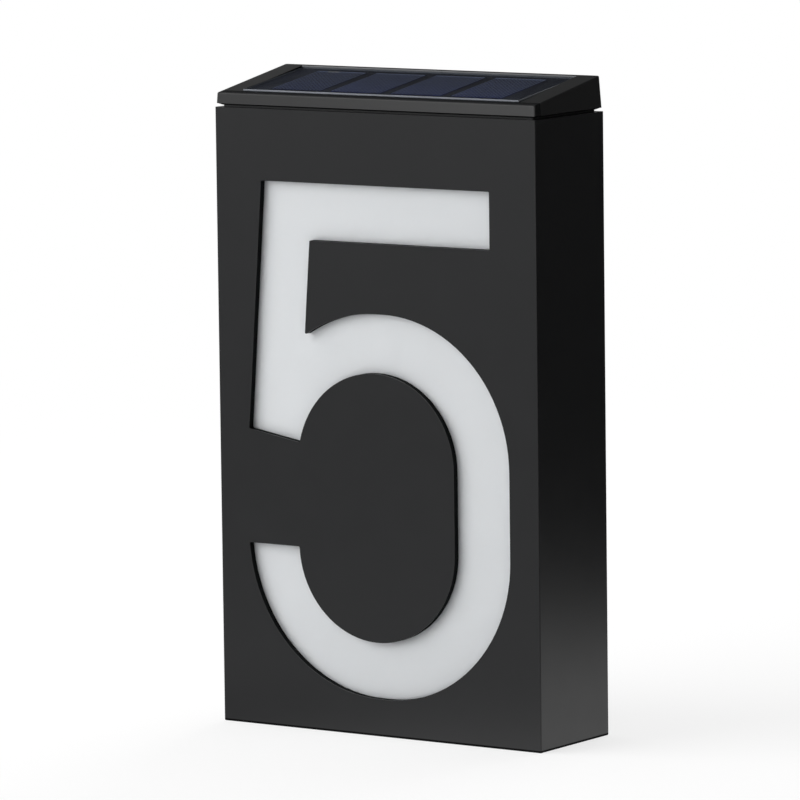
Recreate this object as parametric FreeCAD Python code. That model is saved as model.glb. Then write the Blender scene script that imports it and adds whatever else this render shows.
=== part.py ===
"""Solar house number light: a lit box with a cut-out numeral and a lift-off solar cap.

Millimetres. X runs to the right, Y runs from the front face to the wall and Z runs up.
The origin is the middle of the face that the box stands on.
"""
import FreeCAD, Part
import math
import os

V = FreeCAD.Vector

# ---- Housing box -------------------------------------------------------------------
BOX_WIDTH = 112.0
BOX_DEPTH = 36.0
BOX_HEIGHT = 182.0
FRONT_WALL = 2.2
SIDE_WALL = 1.5
BOTTOM_WALL = 2.0
BACK_WALL = 1.5
RIM_WALL = 1.5              # the front wall is thinned to this where the neck drops in
RIM_BAND_HEIGHT = 22.0      # closed band across the back, above the back plate
EDGE_RADIUS = 0.4
FIT_GAP = 0.2               # each side, between a part and the pocket that it drops into
LOOSE_GAP = 0.5             # around sheets that lie loose between walls
THREAD_GAP = 0.05           # between a screw's thread and its hole

# ---- Numeral -----------------------------------------------------------------------
DIGIT_TOP_MARGIN = 21.0     # from the box's top edge to the bar of the numeral
DIGIT_BOTTOM_MARGIN = 11.0
DIGIT_SIDE_MARGIN = 10.0    # from the box's side to the round of the bowl
BAR_HEIGHT = 16.8
BAR_SETBACK = 6.0           # the bar ends this far inside the bowl's widest point
STEM_WIDTH = 18.4
STEM_LEAN = 0.0751          # sideways drift of the stem per millimetre of height
STEM_HEIGHT = 73.2          # from the stem's outer foot corner up to the top of the bar
FOOT_LEAN = 0.1688          # fall of the stem's foot per millimetre to the right
BOWL_DROP = 37.2            # from the top of the bar to the top of the bowl
BOWL_STROKE_TOP = 17.4
BOWL_STROKE_RIGHT = 19.3
BOWL_STROKE_BOTTOM = 16.6
BOWL_STROKE_LEFT = 18.1     # where the rounds of the bowl's ends would be widest
BOWL_SHOULDER = 2.5         # the bowl's right rounds begin this far right of its left ones
TERMINAL_RISE = 43.0        # from the bottom of the numeral to the cut end of the bowl
DIGIT_CORNER_RADIUS = 0.4

# ---- Back plate and its fixings ----------------------------------------------------
BOSS_RADIUS = 3.4
BOSS_LENGTH = 12.0
BOSS_WALL_OVERLAP = 0.6     # how far a boss runs into the side wall
BOSS_END_INSET = 6.0        # from the plate's lower and upper edges to the screws
SCREW_RADIUS = 1.25
SCREW_HEAD_RADIUS = 2.5
SCREW_HEAD_HEIGHT = 1.2
BACK_SCREW_LENGTH = 9.0
KEYHOLE_SPACING = 60.0
KEYHOLE_DROP = 44.0         # from the box's top edge to the entry holes
KEYHOLE_ENTRY_RADIUS = 4.2
KEYHOLE_SLOT_RADIUS = 2.2
KEYHOLE_RISE = 8.0
KEYHOLE_PAD_THICKNESS = 1.0
KEYHOLE_PAD_MARGIN = 3.5
DRAIN_RADIUS = 1.5
DRAIN_SPACING = 80.0
DRAIN_WALL_DISTANCE = 2.6   # from the back plate's inner face to the drain holes

# ---- Diffuser, reflector tray and foam ---------------------------------------------
DIFFUSER_THICKNESS = 2.0
TRAY_WALL = 1.0
TRAY_FRONT_MARGIN = 4.5     # from the box's inner walls to the tray, at the front
TRAY_BACK_MARGIN = 8.5      # the same at the back
TRAY_TOP_GAP = 1.5          # below the neck
TRAY_TOP_BAR = 2.0
FOAM_THICKNESS = 4.5        # between the tray and the back plate
FOAM_SIZE = 14.0
FOAM_SPACING = 62.0
FOAM_ROW_HEIGHTS = (28.0, 100.0)

# ---- Cap ---------------------------------------------------------------------------
SHADOW_GAP = 1.05           # open line between the housing and the cap
CAP_INSET = 0.2             # the cap's outline stands this far inside the box's
CAP_FRONT_HEIGHT = 3.1
CAP_REAR_HEIGHT = 9.3
CAP_DRAFT = 3.0             # degrees
CAP_BEVEL = 0.5             # drop of the bevelled underside towards the neck
CAP_CORNER_RADIUS = 0.8
CAP_EDGE_RADIUS = 0.4
WINDOW_SIDE_FRAME = 7.5
WINDOW_FRONT_FRAME = 3.1
WINDOW_REAR_FRAME = 2.2
WINDOW_EDGE_RADIUS = 0.25
PANEL_LEAN = 1.7            # degrees that the panel lies flatter than the cap's top, to shed rain
PANEL_PROUD = 0.05          # of the panel's face above the cap's top, at the middle of the window
PANEL_GAP = 0.1
COVER_THICKNESS = 0.45
COVER_EDGE_RADIUS = 0.12
CELL_THICKNESS = 0.2
CELL_COUNT = 4
CELL_WIDTH = 17.7
CELL_GAP = 3.35
CELL_END_MARGIN = 3.0
BOARD_THICKNESS = 1.0
ADHESIVE_THICKNESS = 0.2
LEDGE_THICKNESS = 1.0
LEDGE_WIDTH = 2.5
HOLLOW_SETBACK = 0.5        # of the cap's hollow behind the line where its ceiling meets the neck

# ---- Neck and what it carries ------------------------------------------------------
NECK_DEPTH = 17.0           # how far the neck reaches below the box's top edge
NECK_WALL = 1.6
NECK_CORNER_RADIUS = 0.8
SEAT_LEDGE_WIDTH = 2.2
SEAT_LEDGE_HEIGHT = 4.0
SEAT_FRONT_CLEARANCE = 0.5  # behind the tray's flange
SEAT_REAR_CLEARANCE = 2.5
SEAL_DROP = 8.0             # from the box's top edge to the middle of the seal
SEAL_HEIGHT = 1.5
SEAL_DEPTH = 0.8
SEAL_PROUD = 0.1
TOWER_RADIUS = 3.4
TOWER_HEIGHT = 12.0
TOWER_WALL_OVERLAP = 0.4
TOWER_ROOF = 2.0
CAP_BOSS_RADIUS = 2.8
CAP_SCREW_LENGTH = 8.0
CAP_SCREW_HEAD_HEIGHT = 1.6
CAP_SCREW_HEAD_RADIUS = 2.2
PILOT_EXTRA = 0.6           # a blind screw hole is this much longer than its screw

# ---- Battery bay -------------------------------------------------------------------
BATTERY_RADIUS = 5.25
BATTERY_LENGTH = 43.5       # without the button
BATTERY_BUTTON_RADIUS = 1.9
BATTERY_BUTTON_LENGTH = 1.0
BATTERY_EDGE_RADIUS = 0.6
BATTERY_GAP = 0.3
BAY_WALL = 1.2
BAY_CENTRE_X = -10.0
LEAF_REACH = 5.0            # of the sprung contact at the battery's flat end
LEAF_HEIGHT = 7.0
CONTACT_THICKNESS = 0.4
CONTACT_WIDTH = 8.0
CONTACT_HEIGHT = 9.0
TAB_WIDTH = 2.5
TAB_LENGTH = 3.0
TAB_RISE = 3.0
SLOT_GAP = 0.1
DOOR_FRONT_GAP = 0.3
DOOR_GAP = 0.4
DOOR_TAB_WIDTH = 12.0
DOOR_TAB_DEPTH = 1.4
DOOR_TAB_HEIGHT = 0.8
HINGE_DROP = 0.8            # of the hinge line below the neck's underside
HINGE_SETBACK = 0.1         # of the hinge line behind the battery bay's front wall
HINGE_KNUCKLE_RADIUS = 1.5
HINGE_EAR_WIDTH = 3.0
HINGE_KNUCKLE_WIDTH = 5.0
HINGE_SIDE_GAP = 0.2
HINGE_ROUND_GAP = 0.2
HINGE_PIN_RADIUS = 0.6
HINGE_RUN_GAP = 0.05

# ---- Light-emitting strip ----------------------------------------------------------
LED_ZONE_WIDTH = 7.6        # from the neck's front wall to the battery bay
STRIP_EDGE_GAP = 0.4
STRIP_THICKNESS = 1.2
STRIP_END_GAP = 0.8
LED_COUNT = 6
LED_LENGTH = 3.5
LED_WIDTH = 2.8
LED_HEIGHT = 1.2
LED_END_MARGIN = 5.0
LENS_WIDTH = 4.4
LENS_FLANGE = 0.6
LENS_FLANGE_THICKNESS = 0.8
LENS_GAP = 0.1
LENS_LED_GAP = 0.3
POST_RADIUS = 1.9
POST_END_INSET = 2.7
POST_LENS_GAP = 0.8
SMALL_SCREW_RADIUS = 0.7
SMALL_SCREW_HEAD_RADIUS = 1.5
SMALL_SCREW_HEAD_HEIGHT = 0.9
SMALL_SCREW_BITE = 1.8
STRIP_HOLE_RADIUS = 0.85
CHIP_X = 0.0
CHIP_SIZE = (4.9, 3.9, 1.5)
CHIP_LEG_SIZE = (0.4, 1.0, 0.3)
CHIP_LEGS_PER_SIDE = 4
CHIP_LEG_PITCH = 1.27
INDUCTOR_X = 11.0
INDUCTOR_RADIUS = 2.6
INDUCTOR_CORE_RADIUS = 1.7
INDUCTOR_HEIGHT = 4.6
INDUCTOR_FLANGE = 0.9
CAPACITOR_X = -11.0
CAPACITOR_RADIUS = 2.0
CAPACITOR_HEIGHT = 5.0

# ---- Slide switch ------------------------------------------------------------------
SWITCH_OFFSET = 14.0        # from the battery bay's wall to the switch
SWITCH_LENGTH = 8.6
SWITCH_WIDTH = 4.4
SWITCH_HEIGHT = 4.0
SWITCH_FLANGE_LENGTH = 17.0
SWITCH_FLANGE_THICKNESS = 0.6
SWITCH_SCREW_SPACING = 13.0
SWITCH_SCREW_BITE = 1.0
KNOB_LENGTH = 2.2
KNOB_WIDTH = 1.8
KNOB_TRAVEL = 2.0
KNOB_GAP = 0.15
KNOB_INNER_HEIGHT = 1.2
KNOB_REACH = 1.4            # below the neck's underside

# ---- Wires -------------------------------------------------------------------------
WIRE_RADIUS = 0.6
WIRE_PAIR_SPACING = 3.0
WIRE_ARC_SHARE = 0.45       # of the shorter run beside a bend
WIRE_CLEARANCE = 0.5        # between the battery's wires and the roof of its bay
PANEL_WIRE_X = 27.0
PANEL_WIRE_START_Y = -3.0
PANEL_WIRE_RUN = 7.0
LANDING_INSET = 4.95        # from the strip's left screw to where the battery's black wire lands

# ---- Places worked out from the sizes ----------------------------------------------
HALF_WIDTH = BOX_WIDTH / 2
FRONT_Y = -BOX_DEPTH / 2
BACK_Y = BOX_DEPTH / 2
INNER_HALF_WIDTH = HALF_WIDTH - SIDE_WALL
FRONT_INNER_Y = FRONT_Y + FRONT_WALL
RIM_INNER_Y = FRONT_Y + RIM_WALL
BACK_INNER_Y = BACK_Y - BACK_WALL
BAND_BOTTOM = BOX_HEIGHT - RIM_BAND_HEIGHT

NECK_BOTTOM = BOX_HEIGHT - NECK_DEPTH
NECK_HALF_WIDTH = INNER_HALF_WIDTH - FIT_GAP
NECK_FRONT_Y = RIM_INNER_Y + FIT_GAP
NECK_BACK_Y = BACK_INNER_Y - FIT_GAP
NECK_INNER_HALF_WIDTH = NECK_HALF_WIDTH - NECK_WALL
NECK_INNER_FRONT_Y = NECK_FRONT_Y + NECK_WALL
NECK_INNER_BACK_Y = NECK_BACK_Y - NECK_WALL
FLOOR_TOP = NECK_BOTTOM + NECK_WALL

CAP_BOTTOM = BOX_HEIGHT + SHADOW_GAP
NECK_TOP = CAP_BOTTOM - CAP_BEVEL
CAP_HALF_WIDTH = HALF_WIDTH - CAP_INSET
CAP_FRONT_Y = FRONT_Y + CAP_INSET
CAP_BACK_Y = BACK_Y - CAP_INSET
DRAFT = math.tan(math.radians(CAP_DRAFT))
TOP_FRONT_Y = CAP_FRONT_Y + DRAFT * CAP_FRONT_HEIGHT
TOP_BACK_Y = CAP_BACK_Y - DRAFT * CAP_REAR_HEIGHT
CAP_SLOPE = (CAP_REAR_HEIGHT - CAP_FRONT_HEIGHT) / (TOP_BACK_Y - TOP_FRONT_Y)
SLOPE_ANGLE = math.atan(CAP_SLOPE)
WINDOW_HALF_WIDTH = CAP_HALF_WIDTH - WINDOW_SIDE_FRAME
WINDOW_FRONT_Y = CAP_FRONT_Y + WINDOW_FRONT_FRAME
WINDOW_BACK_Y = CAP_BACK_Y - WINDOW_REAR_FRAME
WINDOW_CENTRE_Y = (WINDOW_FRONT_Y + WINDOW_BACK_Y) / 2
PANEL_ANGLE = SLOPE_ANGLE - math.radians(PANEL_LEAN)
PANEL_DEPTH = COVER_THICKNESS + BOARD_THICKNESS - PANEL_PROUD
POCKET_DEPTH = PANEL_DEPTH + ADHESIVE_THICKNESS
CEILING_DEPTH = POCKET_DEPTH + LEDGE_THICKNESS

TRAY_FRONT_Y = FRONT_INNER_Y + DIFFUSER_THICKNESS
TRAY_BACK_Y = BACK_INNER_Y - FOAM_THICKNESS
TRAY_TOP = NECK_BOTTOM - TRAY_TOP_GAP

LED_ZONE_BACK_Y = NECK_INNER_FRONT_Y + LED_ZONE_WIDTH
LED_Y = (NECK_INNER_FRONT_Y + LED_ZONE_BACK_Y) / 2
TOWER_X = NECK_INNER_HALF_WIDTH - TOWER_RADIUS + TOWER_WALL_OVERLAP
TOWER_FRONT_Y = NECK_INNER_FRONT_Y + TOWER_RADIUS - TOWER_WALL_OVERLAP
TOWER_BACK_Y = NECK_INNER_BACK_Y - TOWER_RADIUS + TOWER_WALL_OVERLAP
TOWER_TOP = NECK_BOTTOM + TOWER_HEIGHT
STRIP_HALF_LENGTH = TOWER_X - TOWER_RADIUS - STRIP_END_GAP
STRIP_BOTTOM = FLOOR_TOP + LENS_FLANGE_THICKNESS + LENS_LED_GAP + LED_HEIGHT
STRIP_TOP = STRIP_BOTTOM + STRIP_THICKNESS
POST_X = STRIP_HALF_LENGTH - POST_END_INSET
LENS_HALF_LENGTH = POST_X - POST_RADIUS - POST_LENS_GAP - LENS_FLANGE

BAY_FRONT_Y = LED_ZONE_BACK_Y + BAY_WALL
BAY_BACK_Y = BAY_FRONT_Y + 2 * (BATTERY_RADIUS + BATTERY_GAP)
BAY_CENTRE_Y = (BAY_FRONT_Y + BAY_BACK_Y) / 2
BAY_LENGTH = LEAF_REACH + BATTERY_LENGTH + BATTERY_BUTTON_LENGTH + 2 * CONTACT_THICKNESS
BAY_LEFT_X = BAY_CENTRE_X - BAY_LENGTH / 2
BAY_RIGHT_X = BAY_CENTRE_X + BAY_LENGTH / 2
BATTERY_Z = FLOOR_TOP + BATTERY_GAP + BATTERY_RADIUS
BAY_ROOF = BATTERY_Z + BATTERY_RADIUS + BATTERY_GAP
HINGE_Y = BAY_FRONT_Y + HINGE_SETBACK
HINGE_Z = NECK_BOTTOM - HINGE_DROP
TAB_Z = BATTERY_Z + TAB_RISE

SWITCH_X = BAY_RIGHT_X + BAY_WALL + SWITCH_OFFSET
SWITCH_Y = BAY_CENTRE_Y
KNOB_OFF_X = SWITCH_X - KNOB_TRAVEL / 2

CUT_OVERRUN = 1.0           # how far a cutting tool runs past the face that it opens


# ---- Helpers -----------------------------------------------------------------------
def block(x0, x1, y0, y1, z0, z1):
    """A box between two corners."""
    return Part.makeBox(x1 - x0, y1 - y0, z1 - z0, V(x0, y0, z0))


def wide_block(half_width, y0, y1, z0, z1):
    """A box centred on the X = 0 plane."""
    return block(-half_width, half_width, y0, y1, z0, z1)


def rod(radius, start, end):
    """A round bar between two points."""
    run = end.sub(start)
    return Part.makeCylinder(radius, run.Length, start, run)


def joined(shapes):
    """One solid out of shapes that touch or overlap."""
    return shapes[0].multiFuse(shapes[1:]).removeSplitter()


def group(shapes):
    """Separate solids that are kept in one file."""
    return Part.makeCompound(shapes)


def upright_edges(shape):
    """The straight edges that run along Z."""
    return [e for e in shape.Edges if abs(e.tangentAt(e.FirstParameter).z) > 0.99]


def solid_from_corners(bottom, top):
    """The solid with two four-sided ends and flat sides between them."""
    def face(points):
        return Part.Face(Part.makePolygon(points + points[:1]))

    faces = [face(bottom[::-1]), face(top)]
    for i in range(len(bottom)):
        j = (i + 1) % len(bottom)
        faces.append(face([bottom[i], bottom[j], top[j], top[i]]))
    shell = Part.makeShell(faces)
    shell.sewShape()
    solid = Part.makeSolid(shell)
    return solid if solid.Volume > 0 else solid.reversed()


def rectangle(half_width, y0, y1, z0, z1):
    """Four corners of a plate whose front edge is at z0 and back edge at z1."""
    return [V(-half_width, y0, z0), V(half_width, y0, z0),
            V(half_width, y1, z1), V(-half_width, y1, z1)]


def slope_height(y):
    """Height of the cap's sloping top at y."""
    return CAP_BOTTOM + CAP_FRONT_HEIGHT + CAP_SLOPE * (y - TOP_FRONT_Y)


def panel_height(y, depth=0.0):
    """Height at y of the plane that lies a depth below the panel's reference plane, which is
    parallel to the panel and meets the cap's sloping top at the middle of the window."""
    middle = slope_height(WINDOW_CENTRE_Y)
    return middle + (y - WINDOW_CENTRE_Y) * math.tan(PANEL_ANGLE) - depth / math.cos(PANEL_ANGLE)


def panel_block(half_width, y0, y1, depth0, depth1, x=0.0):
    """A box parallel to the panel: y0 and y1 are where its ends meet the panel's reference plane,
    and its faces are depth0 and depth1 below that plane, measured square to it."""
    plate = Part.makeBox(2 * half_width, (y1 - y0) / math.cos(PANEL_ANGLE), depth1 - depth0)
    plate.translate(V(x - half_width, 0, -depth1))
    plate.rotate(V(0, 0, 0), V(1, 0, 0), math.degrees(PANEL_ANGLE))
    plate.translate(V(0, y0, panel_height(y0)))
    return plate


def bent_wire(points, radius):
    """A round wire along straight runs, with an arc at every bend."""
    edges = []
    start = points[0]
    for before, bend, after in zip(points, points[1:], points[2:]):
        into = before.sub(bend)
        out = after.sub(bend)
        reach = WIRE_ARC_SHARE * min(into.Length, out.Length)
        into.normalize()
        out.normalize()
        half_angle = into.getAngle(out) / 2
        arc_radius = reach * math.tan(half_angle)
        middle = into.add(out)
        middle.normalize()
        first = bend.add(into.multiply(reach))
        last = bend.add(out.multiply(reach))
        crown = bend.add(middle.multiply(reach / math.cos(half_angle) - arc_radius))
        edges.append(Part.LineSegment(start, first).toShape())
        edges.append(Part.Arc(first, crown, last).toShape())
        start = last
    edges.append(Part.LineSegment(start, points[-1]).toShape())
    section = Part.Wire(Part.makeCircle(radius, points[0], points[1].sub(points[0])))
    return Part.Wire(edges).makePipeShell([section], True, False)


def corner_points(x, y_front, y_back):
    """The four places (x, y) that lie symmetrically left and right."""
    return [(-x, y_front), (x, y_front), (x, y_back), (-x, y_back)]


# ---- Housing -----------------------------------------------------------------------
def first_hit(start, direction, centre, radius):
    """Where a ray first meets a circle that lies in the ray's plane."""
    direction.normalize()
    to_centre = centre.sub(start)
    along = to_centre.dot(direction)
    half_chord = math.sqrt(radius ** 2 - to_centre.dot(to_centre) + along ** 2)
    return start.add(direction.multiply(along - half_chord))


def digit_prism(y0, y1):
    """The numeral five as a prism from y0 to y1."""
    foot = DIGIT_BOTTOM_MARGIN
    top = BOX_HEIGHT - DIGIT_TOP_MARGIN
    half = HALF_WIDTH - DIGIT_SIDE_MARGIN
    bar_end = half - BAR_SETBACK
    bowl_top = top - BOWL_DROP
    counter_top = bowl_top - BOWL_STROKE_TOP
    counter_foot = foot + BOWL_STROKE_BOTTOM
    counter_half = half - (BOWL_STROKE_LEFT + BOWL_STROKE_RIGHT) / 2
    counter_right = half - BOWL_STROKE_RIGHT
    counter_x = counter_right - counter_half
    right_radius = half - BOWL_SHOULDER
    terminal = foot + TERMINAL_RISE

    def point(x, z):
        return V(x, y0, z)

    def line(start, end):
        return Part.LineSegment(start, end)

    def arc(centre_x, centre_z, radius, start, end, degrees):
        """An arc from start to end through the point at an angle about its centre."""
        turn = math.radians(degrees)
        middle = point(centre_x + radius * math.cos(turn), centre_z + radius * math.sin(turn))
        return Part.Arc(start, middle, end)

    def stem_x(z):
        return -bar_end - STEM_LEAN * (top - z)

    def left_of(centre_x, centre_z, radius, z):
        return point(centre_x - math.sqrt(radius ** 2 - (z - centre_z) ** 2), z)

    upper_z = bowl_top - half
    lower_z = foot + half
    right_upper_z = bowl_top - right_radius
    right_lower_z = foot + right_radius
    counter_upper_z = counter_top - counter_half
    counter_lower_z = counter_foot + counter_half
    outer_foot = point(stem_x(top - STEM_HEIGHT), top - STEM_HEIGHT)
    bar_left = point(-bar_end, top)
    bar_right = point(bar_end, top)
    bar_corner = point(bar_end, top - BAR_HEIGHT)
    bar_under = point(stem_x(top - BAR_HEIGHT) + STEM_WIDTH, top - BAR_HEIGHT)
    notch = first_hit(bar_under, V(-STEM_LEAN, 0, -1), point(0, upper_z), half)
    inner_foot = first_hit(outer_foot, V(1, 0, -FOOT_LEAN), point(counter_x, counter_upper_z), counter_half)
    bowl_right_top = point(half, right_upper_z)
    bowl_right_foot = point(half, right_lower_z)
    counter_right_top = point(counter_right, counter_upper_z)
    counter_right_foot = point(counter_right, counter_lower_z)
    terminal_outer = left_of(0, lower_z, half, terminal)
    terminal_inner = left_of(counter_x, counter_lower_z, counter_half, terminal)

    path = [
        line(outer_foot, bar_left), line(bar_left, bar_right), line(bar_right, bar_corner),
        line(bar_corner, bar_under), line(bar_under, notch),
        arc(0, upper_z, half, notch, point(0, bowl_top), 105),
        line(point(0, bowl_top), point(BOWL_SHOULDER, bowl_top)),
        arc(BOWL_SHOULDER, right_upper_z, right_radius, point(BOWL_SHOULDER, bowl_top), bowl_right_top, 45),
        line(bowl_right_top, bowl_right_foot),
        arc(BOWL_SHOULDER, right_lower_z, right_radius, bowl_right_foot, point(BOWL_SHOULDER, foot), -45),
        line(point(BOWL_SHOULDER, foot), point(0, foot)),
        arc(0, lower_z, half, point(0, foot), terminal_outer, -135),
        line(terminal_outer, terminal_inner),
        arc(counter_x, counter_lower_z, counter_half, terminal_inner, counter_right_foot, -90),
        line(counter_right_foot, counter_right_top),
        arc(counter_x, counter_upper_z, counter_half, counter_right_top, inner_foot, 90),
        line(inner_foot, outer_foot),
    ]
    prism = Part.Face(Part.Wire([piece.toShape() for piece in path])).extrude(V(0, y1 - y0, 0))
    corners = [outer_foot, bar_left, bar_right, bar_corner, bar_under, notch,
               terminal_outer, terminal_inner, inner_foot]
    sharp = [e for e in prism.Edges if abs(e.Vertexes[0].Y - e.Vertexes[-1].Y) > (y1 - y0) / 2
             and min(math.hypot(e.Vertexes[0].X - c.x, e.Vertexes[0].Z - c.z) for c in corners)
             < DIGIT_CORNER_RADIUS / 10]
    return prism.makeFillet(DIGIT_CORNER_RADIUS, sharp)


def boss_places():
    """Centres (x, z) of the four screw bosses behind the back plate's corners."""
    x = INNER_HALF_WIDTH - BOSS_RADIUS + BOSS_WALL_OVERLAP
    return corner_points(x, BOTTOM_WALL + BOSS_END_INSET, BAND_BOTTOM - BOSS_END_INSET)


def housing_shell():
    """Front, sides, bottom and rim of the box, with the numeral cut through the front."""
    outer = wide_block(HALF_WIDTH, FRONT_Y, BACK_Y, 0, BOX_HEIGHT)
    rounded = upright_edges(outer)
    rounded += [e for e in outer.Edges if max(v.Z for v in e.Vertexes) < EDGE_RADIUS]
    shell = outer.makeFillet(EDGE_RADIUS, rounded)
    shell = shell.cut(wide_block(INNER_HALF_WIDTH, FRONT_INNER_Y, BACK_INNER_Y,
                                 BOTTOM_WALL, BOX_HEIGHT + CUT_OVERRUN))
    shell = shell.cut(wide_block(INNER_HALF_WIDTH, BACK_INNER_Y - CUT_OVERRUN, BACK_Y + CUT_OVERRUN,
                                 BOTTOM_WALL, BAND_BOTTOM))
    shell = shell.cut(wide_block(INNER_HALF_WIDTH, RIM_INNER_Y, FRONT_INNER_Y + CUT_OVERRUN,
                                 NECK_BOTTOM - LOOSE_GAP, BOX_HEIGHT + CUT_OVERRUN))
    shell = shell.cut(digit_prism(FRONT_Y - CUT_OVERRUN, FRONT_INNER_Y + CUT_OVERRUN))
    extras = [shell]
    pilots = []
    for x, z in boss_places():
        extras.append(rod(BOSS_RADIUS, V(x, BACK_INNER_Y - BOSS_LENGTH, z), V(x, BACK_INNER_Y, z)))
        depth = BACK_SCREW_LENGTH - BACK_WALL + PILOT_EXTRA
        pilots.append(rod(SCREW_RADIUS + THREAD_GAP, V(x, BACK_INNER_Y - depth, z),
                          V(x, BACK_INNER_Y + CUT_OVERRUN, z)))
    for side in (-1, 1):
        x0, x1 = sorted((side * (INNER_HALF_WIDTH - SEAT_LEDGE_WIDTH), side * (HALF_WIDTH - EDGE_RADIUS)))
        extras.append(block(x0, x1, TRAY_FRONT_Y + TRAY_WALL + SEAT_FRONT_CLEARANCE,
                            BACK_INNER_Y - SEAT_REAR_CLEARANCE, NECK_BOTTOM - SEAT_LEDGE_HEIGHT, NECK_BOTTOM))
    shell = joined(extras)
    for x in (-DRAIN_SPACING / 2, DRAIN_SPACING / 2):
        y = BACK_INNER_Y - DRAIN_WALL_DISTANCE
        pilots.append(rod(DRAIN_RADIUS, V(x, y, -CUT_OVERRUN), V(x, y, BOTTOM_WALL + CUT_OVERRUN)))
    return shell.cut(group(pilots))


def keyhole_places():
    """Centres (x, z) of the keyholes' round entries."""
    z = BOX_HEIGHT - KEYHOLE_DROP
    return [(-KEYHOLE_SPACING / 2, z), (KEYHOLE_SPACING / 2, z)]


def back_plate():
    """The screwed plate with two keyholes that hang on the wall's screws."""
    plate = wide_block(INNER_HALF_WIDTH - FIT_GAP, BACK_INNER_Y, BACK_Y,
                       BOTTOM_WALL + FIT_GAP, BAND_BOTTOM - FIT_GAP)
    pads = []
    cuts = []
    pad_y = BACK_INNER_Y - KEYHOLE_PAD_THICKNESS
    for x, z in keyhole_places():
        half = KEYHOLE_ENTRY_RADIUS + KEYHOLE_PAD_MARGIN
        top = z + KEYHOLE_RISE + KEYHOLE_SLOT_RADIUS + KEYHOLE_PAD_MARGIN
        pads.append(block(x - half, x + half, pad_y, BACK_INNER_Y, z - half, top))
        start = V(x, pad_y - CUT_OVERRUN, z)
        slot_start = V(x, pad_y - CUT_OVERRUN, z + KEYHOLE_RISE)
        run = V(0, BACK_Y - pad_y + 2 * CUT_OVERRUN, 0)
        cuts.append(rod(KEYHOLE_ENTRY_RADIUS, start, start.add(run)))
        cuts.append(rod(KEYHOLE_SLOT_RADIUS, slot_start, slot_start.add(run)))
        cuts.append(block(x - KEYHOLE_SLOT_RADIUS, x + KEYHOLE_SLOT_RADIUS, start.y,
                          start.y + run.y, z, z + KEYHOLE_RISE))
    for x, z in boss_places():
        cuts.append(rod(SCREW_RADIUS + THREAD_GAP, V(x, BACK_INNER_Y - CUT_OVERRUN, z), V(x, BACK_Y, z)))
        cuts.append(countersunk_head(x, z))
    return joined([plate] + pads).cut(group(cuts))


def countersunk_head(x, z):
    """The cone of a countersunk head, flush with the back face."""
    return Part.makeCone(SCREW_HEAD_RADIUS, SCREW_RADIUS, SCREW_HEAD_HEIGHT, V(x, BACK_Y, z), V(0, -1, 0))


def cross_recess(width, depth):
    """Tool that leaves a cross in a screw head, about the origin and down along -Z."""
    arm = width / 4
    bars = [block(-width / 2, width / 2, -arm / 2, arm / 2, -depth, CUT_OVERRUN),
            block(-arm / 2, arm / 2, -width / 2, width / 2, -depth, CUT_OVERRUN)]
    return joined(bars)


def back_screws():
    """Four countersunk screws that hold the back plate."""
    screws = []
    for x, z in boss_places():
        shank = rod(SCREW_RADIUS, V(x, BACK_Y - BACK_SCREW_LENGTH, z),
                    V(x, BACK_Y - SCREW_HEAD_HEIGHT / 2, z))
        recess = cross_recess(SCREW_HEAD_RADIUS, SCREW_HEAD_HEIGHT / 2)
        recess.rotate(V(0, 0, 0), V(1, 0, 0), -90)
        recess.translate(V(x, BACK_Y, z))
        screws.append(joined([countersunk_head(x, z), shank]).cut(recess))
    return group(screws)


def diffuser():
    """Opal sheet that lies against the front wall, behind the numeral."""
    return wide_block(INNER_HALF_WIDTH - LOOSE_GAP, FRONT_INNER_Y, TRAY_FRONT_Y,
                      BOTTOM_WALL + LOOSE_GAP, NECK_BOTTOM - LOOSE_GAP)


def reflector_tray():
    """White tray with leaning walls behind the diffuser, open to the lamps above."""
    def shape(shrink, overrun):
        front_half = INNER_HALF_WIDTH - TRAY_FRONT_MARGIN - shrink
        back_half = INNER_HALF_WIDTH - TRAY_BACK_MARGIN - shrink
        front = [V(-front_half, TRAY_FRONT_Y - overrun, BOTTOM_WALL + TRAY_FRONT_MARGIN + shrink),
                 V(front_half, TRAY_FRONT_Y - overrun, BOTTOM_WALL + TRAY_FRONT_MARGIN + shrink),
                 V(front_half, TRAY_FRONT_Y - overrun, TRAY_TOP + overrun),
                 V(-front_half, TRAY_FRONT_Y - overrun, TRAY_TOP + overrun)]
        back = [V(-back_half, TRAY_BACK_Y - shrink, BOTTOM_WALL + TRAY_BACK_MARGIN + shrink),
                V(back_half, TRAY_BACK_Y - shrink, BOTTOM_WALL + TRAY_BACK_MARGIN + shrink),
                V(back_half, TRAY_BACK_Y - shrink, TRAY_TOP + overrun),
                V(-back_half, TRAY_BACK_Y - shrink, TRAY_TOP + overrun)]
        return solid_from_corners(front, back)

    flange = wide_block(INNER_HALF_WIDTH - LOOSE_GAP, TRAY_FRONT_Y, TRAY_FRONT_Y + TRAY_WALL,
                        BOTTOM_WALL + LOOSE_GAP, TRAY_TOP)
    top_bar = wide_block(INNER_HALF_WIDTH - TRAY_FRONT_MARGIN, TRAY_FRONT_Y, TRAY_FRONT_Y + TRAY_WALL,
                         TRAY_TOP - TRAY_TOP_BAR, TRAY_TOP)
    tray = joined([flange, shape(0, 0)]).cut(shape(TRAY_WALL, CUT_OVERRUN))
    return joined([tray, top_bar])


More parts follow.
